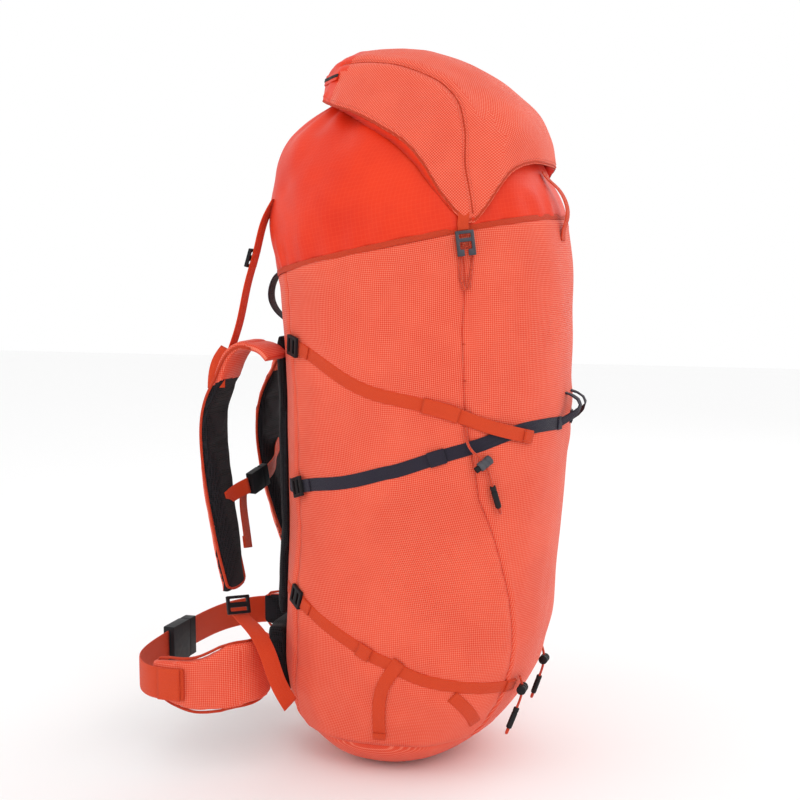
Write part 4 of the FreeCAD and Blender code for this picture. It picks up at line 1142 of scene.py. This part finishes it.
def build_lid():
    """Outer cloth, lining and bound edge of the lid pocket."""
    turns = np.linspace(-180, 180, 300, endpoint=False)
    base = lid_base_levels(turns)
    rows = 84
    share = np.linspace(0, 1, rows)[:, None] ** 0.92
    levels = base + (LID_TOP - 0.6 - base) * share
    grid_turns = np.broadcast_to(turns, levels.shape)
    places, normals = lid_rings.point(levels, grid_turns), lid_rings.normal(levels, grid_turns)
    height = lid_relief(places, grid_turns)
    away = np.abs(grid_turns)
    edge_run = (levels - base[None, :])
    fade_top = np.clip((LID_TOP - levels) / 12, 0, 1)
    ridge = spline([(turn, LID_LOW + rise) for rise, turn in RIDGE], 2)
    ridge_places = lid_rings.point(ridge[:, 1], ridge[:, 0])
    both = np.concatenate((ridge_places, ridge_places * (-1, 1, 1)))
    near = near_line(places, both)
    height = height - 2.0 * np.exp(-(near / 3.2) ** 2) + 1.5 * np.exp(-((near - 11) / 8) ** 2)
    height = (height - 1.6 * np.exp(-(edge_run / 4.0) ** 2)) * fade_top + 0.6 * fade_top
    shaped = places + normals * height[..., None]
    outer = new_object("lid_cloth", shaped.reshape(-1, 3), lid_faces(rows, len(turns), True),
                       [LID_RIPSTOP, COLLAR_CLOTH])
    face_choice(outer, lambda c, n: (np.degrees(np.arctan2(np.abs(c[:, 0]), -c[:, 1] - 20)) > 128) | (
        (c[:, 2] > 812) & (c[:, 1] > 28)))
    side_weave(outer)
    lining_levels = bag_lining(base, share)
    inside = bag.point(np.minimum(lining_levels, 799.5), grid_turns)
    inside_normals = bag.normal(np.minimum(lining_levels, 797), grid_turns)
    gap = 2.6 + np.clip(lining_levels - 775, 0, 24) * 0.05
    inside = inside + inside_normals * gap[..., None]
    inside[0] = shaped[0] - normals[0] * 1.0
    lining = new_object("lid_lining", inside.reshape(-1, 3), lid_faces(rows, len(turns), False),
            [COLLAR_CLOTH])
    box_weave(lining)
    for item in (outer, lining):
        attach(item, "lid")
        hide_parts("lid_pocket")
    loop = np.concatenate((shaped[1], shaped[1][:1])) - np.concatenate((normals[1], normals[1][:1])) * 0.6
    rope("lid_bound_edge", loop, 1.5, BINDING, "lid")
    lid_skin = Skin()
    lid_skin.add(outer)
    for side_name, side in SIDES:
        line = mirror_x(ridge_places, side)
        ways = mirror_x(lid_rings.normal(ridge[:, 1], ridge[:, 0]), side)
        keep = ridge[:, 1] > 648
        seat = np.array([lid_skin.height(p, n) for p, n in zip(line, ways)])
        spots = line + ways * (seat + 0.15)[:, None]
        rope(f"{side_name}_lid_ridge", spots[keep], 0.7, BINDING, "lid")
        across = side_of(spots, ways)
        for row, shift in enumerate((-3.2, 3.2)):
            moved = line + across * shift
            seat = np.array([lid_skin.height(p, n) for p, n in zip(moved, ways)])
            stitches(f"{side_name}_lid_stitch_{row}", (moved + ways * (seat + 0.1)[:, None])[keep],
                    ways[keep], THREAD,
                     "lid", radius=0.26)
    edge_turns = np.linspace(-179, 179, 420)
    edge_levels = lid_base_levels(edge_turns) + 5.5
    line, ways = lid_rings.point(edge_levels, edge_turns), lid_rings.normal(edge_levels, edge_turns)
    seat = np.array([lid_skin.height(p, n) for p, n in zip(line, ways)])
    stitches("lid_edge_stitch", line + ways * (seat + 0.1)[:, None], ways, THREAD, "lid", radius=0.28)
    build_lid_zip(lid_skin)
    build_lid_tabs()


def bag_lining(base, share):
    """Levels on the bag's outline behind the lid, from its edge to the top."""
    return base + (799.5 - base) * share


def lid_faces(rows, columns, outward):
    faces = grid_faces(rows, columns, True)
    last = (rows - 1) * columns
    faces.append(tuple(last + i for i in range(columns)))
    return faces if outward else [face[::-1] for face in faces]


def side_weave(item):
    """Weave of the lid: flat on its sides, and rolled over its front and top."""
    mesh = item.data
    corner = np.zeros(len(mesh.loops), np.int32)
    mesh.loops.foreach_get("vertex_index", corner)
    places = coords(mesh) / MM
    spots = places[corner]
    normals = np.zeros(len(mesh.polygons) * 3)
    mesh.polygons.foreach_get("normal", normals)
    sizes = np.zeros(len(mesh.polygons), np.int32)
    mesh.polygons.foreach_get("loop_total", sizes)
    facing = np.repeat(np.abs(normals.reshape(-1, 3)[:, 0]) > 0.62, sizes)
    roll = np.arctan2(spots[:, 2] - 660, -spots[:, 1] + 10) * 178
    values = np.zeros((len(corner), 3), np.float32)
    values[:, 0] = np.where(facing, spots[:, 1], spots[:, 0])
    values[:, 1] = np.where(facing, spots[:, 2], roll)
    attribute = mesh.attributes.new("weave", "FLOAT_VECTOR", "CORNER")
    attribute.data.foreach_set("vector", values.ravel())


def build_lid_zip(lid_skin):
    """Coil zip with its tape across the back of the lid."""
    turns = np.linspace(128, 232, 70)
    levels = np.full(len(turns), 806.0)
    line, ways = lid_rings.point(levels, turns), lid_rings.normal(levels, turns)
    seat = np.maximum([lid_skin.height(p, n) for p, n in zip(line, ways)], 0.4)
    spots = line + ways * (seat + 0.6)[:, None]
    web_strip("zip_band", spots, ways, 12, COLLAR_CLOTH, "lid", ("lid_zip",), 1.2, "zip_tape")
    run = np.concatenate(([0], np.cumsum(np.linalg.norm(np.diff(spots, axis=0), axis=1))))
    across = side_of(spots, ways)
    verts, faces = [], []
    for i in range(int(run[-1] / 1.5)):
        at = i * 1.5
        spot, up, side = [np.array([np.interp(at, run, rows[:, k]) for k in range(3)]) for rows in (spots,
                ways, across)]
        ahead = np.cross(up, side)
        first = len(verts)
        for lift in (0.5, 1.5):
            for a, b in ((-2.2, -0.45), (2.2, -0.45), (2.2, 0.45), (-2.2, 0.45)):
                verts.append(spot + up * lift + side * a * (1 if lift < 1 else 0.8) + ahead * b)
        faces += [(first, first + 3, first + 2, first + 1), (first + 4, first + 5, first + 6, first + 7)]
        faces += [(first + k, first + (k + 1) % 4, first + 4 + (k + 1) % 4, first + 4 + k) for k in range(4)]
    teeth = new_object("zip_coil", verts, faces, [PLASTIC], smooth=False)
    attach(teeth, "lid")


def build_lid_tabs():
    """Webbing tabs from the lid's front points to their hooks."""
    for side_name, side in SIDES:
        places, normals = on_bag(((650, 61, 4.2), (643, 61.5, 4.4), (636, 62, 4.6), (629.5, 62, 5.2)), 1.5)
        web_strip(f"{side_name}_lid_tab", mirror_x(places, side), mirror_x(normals, side), 12, WEBBING, "lid",
                  ("lid_tabs",), 1.6)


# ------------------------------------------------------------------------- harness
PAD_PATH = ((188, 448), (200, 418), (203.5, 380), (200, 340), (191, 295), (179, 248), (165, 205))
PAD_SPREAD = (86, 83, 80, 80, 84, 90, 97)
YOKE_PATH = ((136, 496), (152, 497.5), (166, 488), (176, 471), (182.5, 457.5))


def pad_edge(points, widths, side, across, name, cap=9, radius=1.7, material=None):
    """Bound edge of a padded strap: down one side, round its end and up the other side."""
    points = spline(points, 4)
    wide = np.interp(np.linspace(0, 1, len(points)), np.linspace(0, 1, len(widths)), widths)
    short = int(cap / 4) + 1
    points, wide, across = points[:-short], wide[:-short], np.array(across, float)
    ahead = points[-1] - points[-2]
    ahead /= np.linalg.norm(ahead)
    angles = np.linspace(-math.pi / 2, math.pi / 2, 15)[1:-1, None]
    ends = points[-1] + across * np.sin(angles) * wide[-1] / 2 + ahead * np.cos(angles) * cap
    line = np.concatenate((points - across * wide[:, None] / 2, ends,
            (points + across * wide[:, None] / 2)[::-1]))
    return rope(name, mirror_x(line, side), radius, material or BINDING, None)


def build_shoulder_pads():
    """Shoulder pads: mesh towards the wearer, ripstop outside, with bound edges."""
    def pick(centres, normals):
        return (normals[:, 1] < 0.35) & (centres[:, 2] + 0.35 * centres[:, 1] < 519)

    for side_name, side in SIDES:
        item = puffed(f"{side_name}_pad_cloth", (f"{side_name}_shoulder_pad", "shoulder_yokes"), None,
                      [RIPSTOP, SPACER], pick, side=side)
        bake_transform(item)
        points = [(-x, y, z) for x, (y, z) in zip(PAD_SPREAD, PAD_PATH)]
        whole = [(-86, y, z) for y, z in YOKE_PATH] + points
        edge = pad_edge(whole, [63, 63, 63, 62, 60, 55, 48], side, (1, 0, 0), f"{side_name}_pad_edge")
        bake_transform(edge)
        root = spline(((-86, 116, 484), (-86, 125, 493), (-86, 138, 497.5), (-86, 152, 498)), 3)
        ways = np.cross(np.gradient(root, axis=0), np.array((1.0, 0, 0)))
        band = web_strip(f"{side_name}_yoke_root", mirror_x(root, side), mirror_x(ways, side), 60, RIPSTOP,
                thick=8)
        rows = spline([(x + 0, y + 7.4, z) for x, y, z in points], 4)
        ways = np.cross(np.gradient(rows, axis=0), np.array((1.0, 0, 0)))
        ways *= np.sign(ways[:, 1:2])
        ways /= np.linalg.norm(ways, axis=1, keepdims=True)
        web_strip(f"{side_name}_pad_daisy", mirror_x(rows, side), mirror_x(ways, side), 15, WEBBING,
                  "shoulder_straps", (), 1.5)
    puffed("back_pad_mesh", ("back_pad",), "root", [SPACER], None, voxel=5.5, cap=4)
    puffed("lumbar_mesh", ("lumbar_pad",), "root", [SPACER], None, voxel=5.5, cap=6)


def build_harness_webbing():
    """Load lifters, lower webbing, chest strap and its tail."""
    lifter = spline(((-84, 116, 668), (-84, 129, 646), (-84, 140, 610), (-85, 152, 570), (-85, 163, 525),
            (-86, 175.5, 489)), 4)
    ways = np.cross(np.gradient(lifter, axis=0), np.array((1.0, 0, 0)))
    ways *= np.sign(ways[:, 1:2])
    lower = spline(((-104, 159, 176), (-116, 144, 171), (-130, 124, 161), (-140, 107, 140), (-138, 97, 110),
                    (-127, 86, 80)), 4)
    outward = np.tile(np.array((-0.55, -0.75, 0.35)), (len(lower), 1))
    for side_name, side in SIDES:
        web_strip(f"{side_name}_lifter_web", mirror_x(lifter, side), mirror_x(ways, side), 20, WEBBING,
                "root",
                  ("load_lifters",))
        fold = spline(((-90, 176, 493), (-101, 181, 480), (-108, 183, 462), (-112, 182, 449)), 3)
        fold_ways = np.tile(np.array((-0.9, -0.15, 0.3)), (len(fold), 1))
        web_strip(f"{side_name}_lifter_fold", mirror_x(fold, side), mirror_x(fold_ways, side), 21, WEBBING,
                "root")
        item = web_strip(f"{side_name}_lower_web", mirror_x(lower, side), mirror_x(outward, side), 22,
                WEBBING, None,
                         ("lower_webbing",))
        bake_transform(item)
    left = spline(((-88, 183.6, 311), (-66, 181, 317), (-46, 172, 323)), 3)
    right = spline(((-6.9, 164.6, 333), (20, 167.5, 339), (50, 178, 346), (66, 184, 350), (88, 189.6, 355)),
            3)
    tail = spline(((-40, 181, 325), (-41, 182.5, 303), (-40, 180, 272), (-43, 175, 244)), 3)
    up = np.array((0, 0, 1.0))
    left_ways, right_ways = [np.cross(np.gradient(rows, axis=0), up) for rows in (left, right)]
    tail_ways = np.cross(np.gradient(tail, axis=0), np.array((1.0, 0, 0)))
    web_strip("chest_web_left", left, left_ways, 20, WEBBING, "chest_strap", ("chest_strap_left",))
    web_strip("chest_web_tail", tail, tail_ways, 20, WEBBING, "chest_strap")
    web_strip("chest_web_tail_tip", tail[-6:] + (0, 1.6, 0), tail_ways[-6:], 20, WEBBING, "chest_strap")
    web_strip("chest_web_right", right, right_ways, 20, WEBBING, "chest_plug_half", ("chest_strap_right",))


def build_hip_belt():
    """Hip wings, belt roots, webbing and the bound edge of each wing."""
    path = ((-150, 152), (-158, 170), (-163, 192), (-164, 216), (-158, 245))
    lifts = (9, 3, -2, 0, 4)
    web_path = ((-173.4, 200), (-174.4, 220), (-170.6, 243), (-155, 264), (-126, 281.5), (-80, 291.3),
            (-32, 294))
    roots = ((-84, 139), (-104, 132), (-122, 132.5), (-137, 139.5), (-145.5, 147))
    for side_name, side in SIDES:
        body = f"{side_name}_wing"

        def pick(centres, normals, side=side):
            return (normals[:, 0] * side > 0.45) | (normals[:, 1] > 0.6) & (centres[:, 1] < 160)

        item = puffed(f"{side_name}_wing_cloth", (f"{side_name}_hip_wing", "belt_roots"), None,
                [RIPSTOP, SPACER],
                      pick, side=side)
        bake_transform(item)
        web = spline([(x, y, 107) for x, y in web_path], 4)
        ways = np.cross(np.gradient(web, axis=0), np.array((0, 0, 1.0)))
        ways *= np.sign((ways * (web - (0, 200, 107))).sum(axis=1, keepdims=True))
        web_strip(f"{side_name}_belt_web", mirror_x(web, side), mirror_x(ways, side), 38, WEBBING, body,
                  (f"{side_name}_hip_webbing",), 2.0)
        fold = web[1:9] + ways[1:9] / np.linalg.norm(ways[1:9], axis=1, keepdims=True) * 2.3
        web_strip(f"{side_name}_belt_fold", mirror_x(fold, side), mirror_x(ways[1:9], side), 38, WEBBING,
                body, (), 2.0)
        spots = [(x, y, 116) for x, y in roots] + [(x, y, 107 + lift) for (x, y),
                lift in zip(path[1:], lifts[1:])]
        edge = pad_edge(spots, [74, 75, 76, 77, 76, 68, 61, 54, 42], side, (0, 0, 1),
                f"{side_name}_wing_edge")
        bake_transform(edge)


# ------------------------------------------------------------------- cords and hardware
LOOP_ROUTE = ((-146.4, -129.5, 566), (-148.2, -125.3, 577), (-147.8, -124.0, 592), (-146.8, -125.3, 606),
              (-145.2, -128.8, 613.2), (-142.4, -133.8, 613), (-141.0, -136.6, 605.5), (-142.4, -136.0, 592),
              (-144.0, -134.5, 578), (-144.8, -132.5, 566.5))
SIDE_TOOL_ROUTE = ((-145.4, -130.0, 418), (-147.0, -131.6, 409), (-147.0, -133.0, 400),
        (-144.8, -137.6, 391.5),
                   (-140.6, -144.2, 385), (-137.6, -150.4, 378), (-135.0, -153.6, 369),
                   (-133.0, -155.4, 360), (-130.6, -157.6, 350.5))
BASE_TOOL_ROUTE = ((-62, -173.6, 120), (-61.2, -176, 113), (-60.6, -176.6, 104), (-60.6, -175.2, 95),
                   (-61.6, -172.8, 87), (-62.8, -170.2, 80))
CORD_THICK, TUBE_RADIUS, BARREL_LONG = 3, 3.4, 17


def cord_curve(name, route, node):
    """Elastic or braided cord along its route."""
    curve = bpy.data.curves.new(name, "CURVE")
    curve.dimensions = "3D"
    curve.bevel_depth = CORD_THICK / 2 * MM
    curve.bevel_resolution = 4
    curve.resolution_u = 10
    curve.use_fill_caps = True
    line = curve.splines.new("NURBS")
    line.points.add(len(route) - 1)
    for point, place in zip(line.points, route):
        point.co = (*(Vector(place) * MM), 1)
    line.order_u = 3
    line.use_endpoint_u = True
    curve.materials.append(CORD_ORANGE)
    item = bpy.data.objects.new(name, curve)
    bpy.context.scene.collection.objects.link(item)
    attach(item, "root")
    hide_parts(node)
    return item


def build_cords():
    """Lid loops and tool cords with their locks and end tubes."""
    tube = ((0, 1.9), (0, 3.0), (1.0, TUBE_RADIUS), (5, TUBE_RADIUS), (5.4, 3.0), (6.4, 3.0),
            (6.8, TUBE_RADIUS),
            (24, TUBE_RADIUS), (25.4, 3.1), (26, 2.4))
    barrel = ((0, 4.2), (0.6, 5.2), (1.4, 5.5), (5, 5.5), (5.4, 5.0), (6.2, 5.0), (6.6, 5.5), (10.4, 5.5),
              (10.8, 5.0), (11.6, 5.0), (12, 5.5), (15.6, 5.5), (16.6, 5.1), (17, 4.0))
    for side_name, side in SIDES:
        routes = {"lid_loop": LOOP_ROUTE, "side_tool_cord": SIDE_TOOL_ROUTE,
                "base_tool_cord": BASE_TOOL_ROUTE}
        for label, route in routes.items():
            places = mirror_x(route, side)
            cord = cord_curve(f"{side_name}_{label}_sheath", places, f"{side_name}_{label}")
            if label != "lid_loop":
                number = 5 if label == "side_tool_cord" else 2
                way = Vector(places[-1] - places[-2]).normalized()
                end = lathe(f"{side_name}_{label}_tube", places[-1] - np.array(way) * 1.5, way, tube, PLASTIC)
                across = Vector(places[number + 1] - places[number - 1]).normalized()
                outward = Vector((-0.75 * side, -0.66, 0)) if number == 5 else Vector((0, -1, 0.25))
                axis = across.cross(outward).normalized() * side
                base = Vector(places[number]) - axis * (BARREL_LONG / 2)
                lock = lathe(f"{side_name}_{label}_lock", base, axis, barrel,
                        GREY_PLASTIC if number == 5 else PLASTIC)
                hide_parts("cord_toggles")
                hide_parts("cord_lock_barrels")
                bead = lathe(f"{side_name}_{label}_tip", places[-1] + np.array(way) * 24, way,
                             ((0, 1.4), (0, 1.9), (6, 2.0), (8, 1.5)), CORD_ORANGE)


def moulded(names, material, width=0.9):
    """Copies of the hard pieces with rounded edges and a detailed finish."""
    for name in names:
        item = bpy.data.objects.new(f"{name}_piece", nodes[name].data.copy())
        bpy.context.scene.collection.objects.link(item)
        shape = bmesh.new()
        shape.from_mesh(item.data)
        bmesh.ops.remove_doubles(shape, verts=shape.verts, dist=0.00002)
        bmesh.ops.dissolve_limit(shape, angle_limit=math.radians(2), verts=shape.verts, edges=shape.edges)
        shape.to_mesh(item.data)
        shape.free()
        item.data.materials.clear()
        item.data.materials.append(material)
        rounding = item.modifiers.new("rounding", "BEVEL")
        rounding.width = width * MM
        rounding.segments = 3
        rounding.angle_limit = math.radians(35)
        rounding.harden_normals = True
        item.data.polygons.foreach_set("use_smooth", [True] * len(item.data.polygons))
        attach(item, body_names[name])
        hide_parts(name)


def build_hardware():
    """Hooks, locks and buckles keep their own shapes and get moulded or metal finishes."""
    hooks = [f"{side}_{name}_hook" for side, _ in SIDES for name in ("top", "middle", "lower")]
    locks = [f"{side}_{name}" for side, _ in SIDES for name in ("lifter_lock", "lower_lock", "lock_plunger")]
    buckles = ["chest_buckle", "chest_plug", "hip_buckle", "hip_plug"]
    moulded(hooks + locks, PLASTIC, 0.6)
    moulded(buckles, PLASTIC, 2.2)
    moulded([f"{side}_lid_hook" for side, _ in SIDES], HOOK_METAL, 1.1)
    moulded(["lid_zip_pull"], HOOK_METAL, 0.6)
    moulded(["frame_sheet"], PLASTIC, 0.4)
    moulded(["frame_stay"], STAY_METAL, 0.6)


place_camera()
build_studio()
build_bag()
for cloth_name in ("front_cloth", "left_side_cloth", "right_side_cloth", "back_cloth", "bottom_cloth",
                   "collar_cloth_shell"):
    skin.add(bpy.data.objects[cloth_name])
build_side_straps()
rim_binding()
seam_rows()
small_patches()
build_loops()
build_lid()
build_shoulder_pads()
build_harness_webbing()
build_hip_belt()
build_cords()
build_hardware()
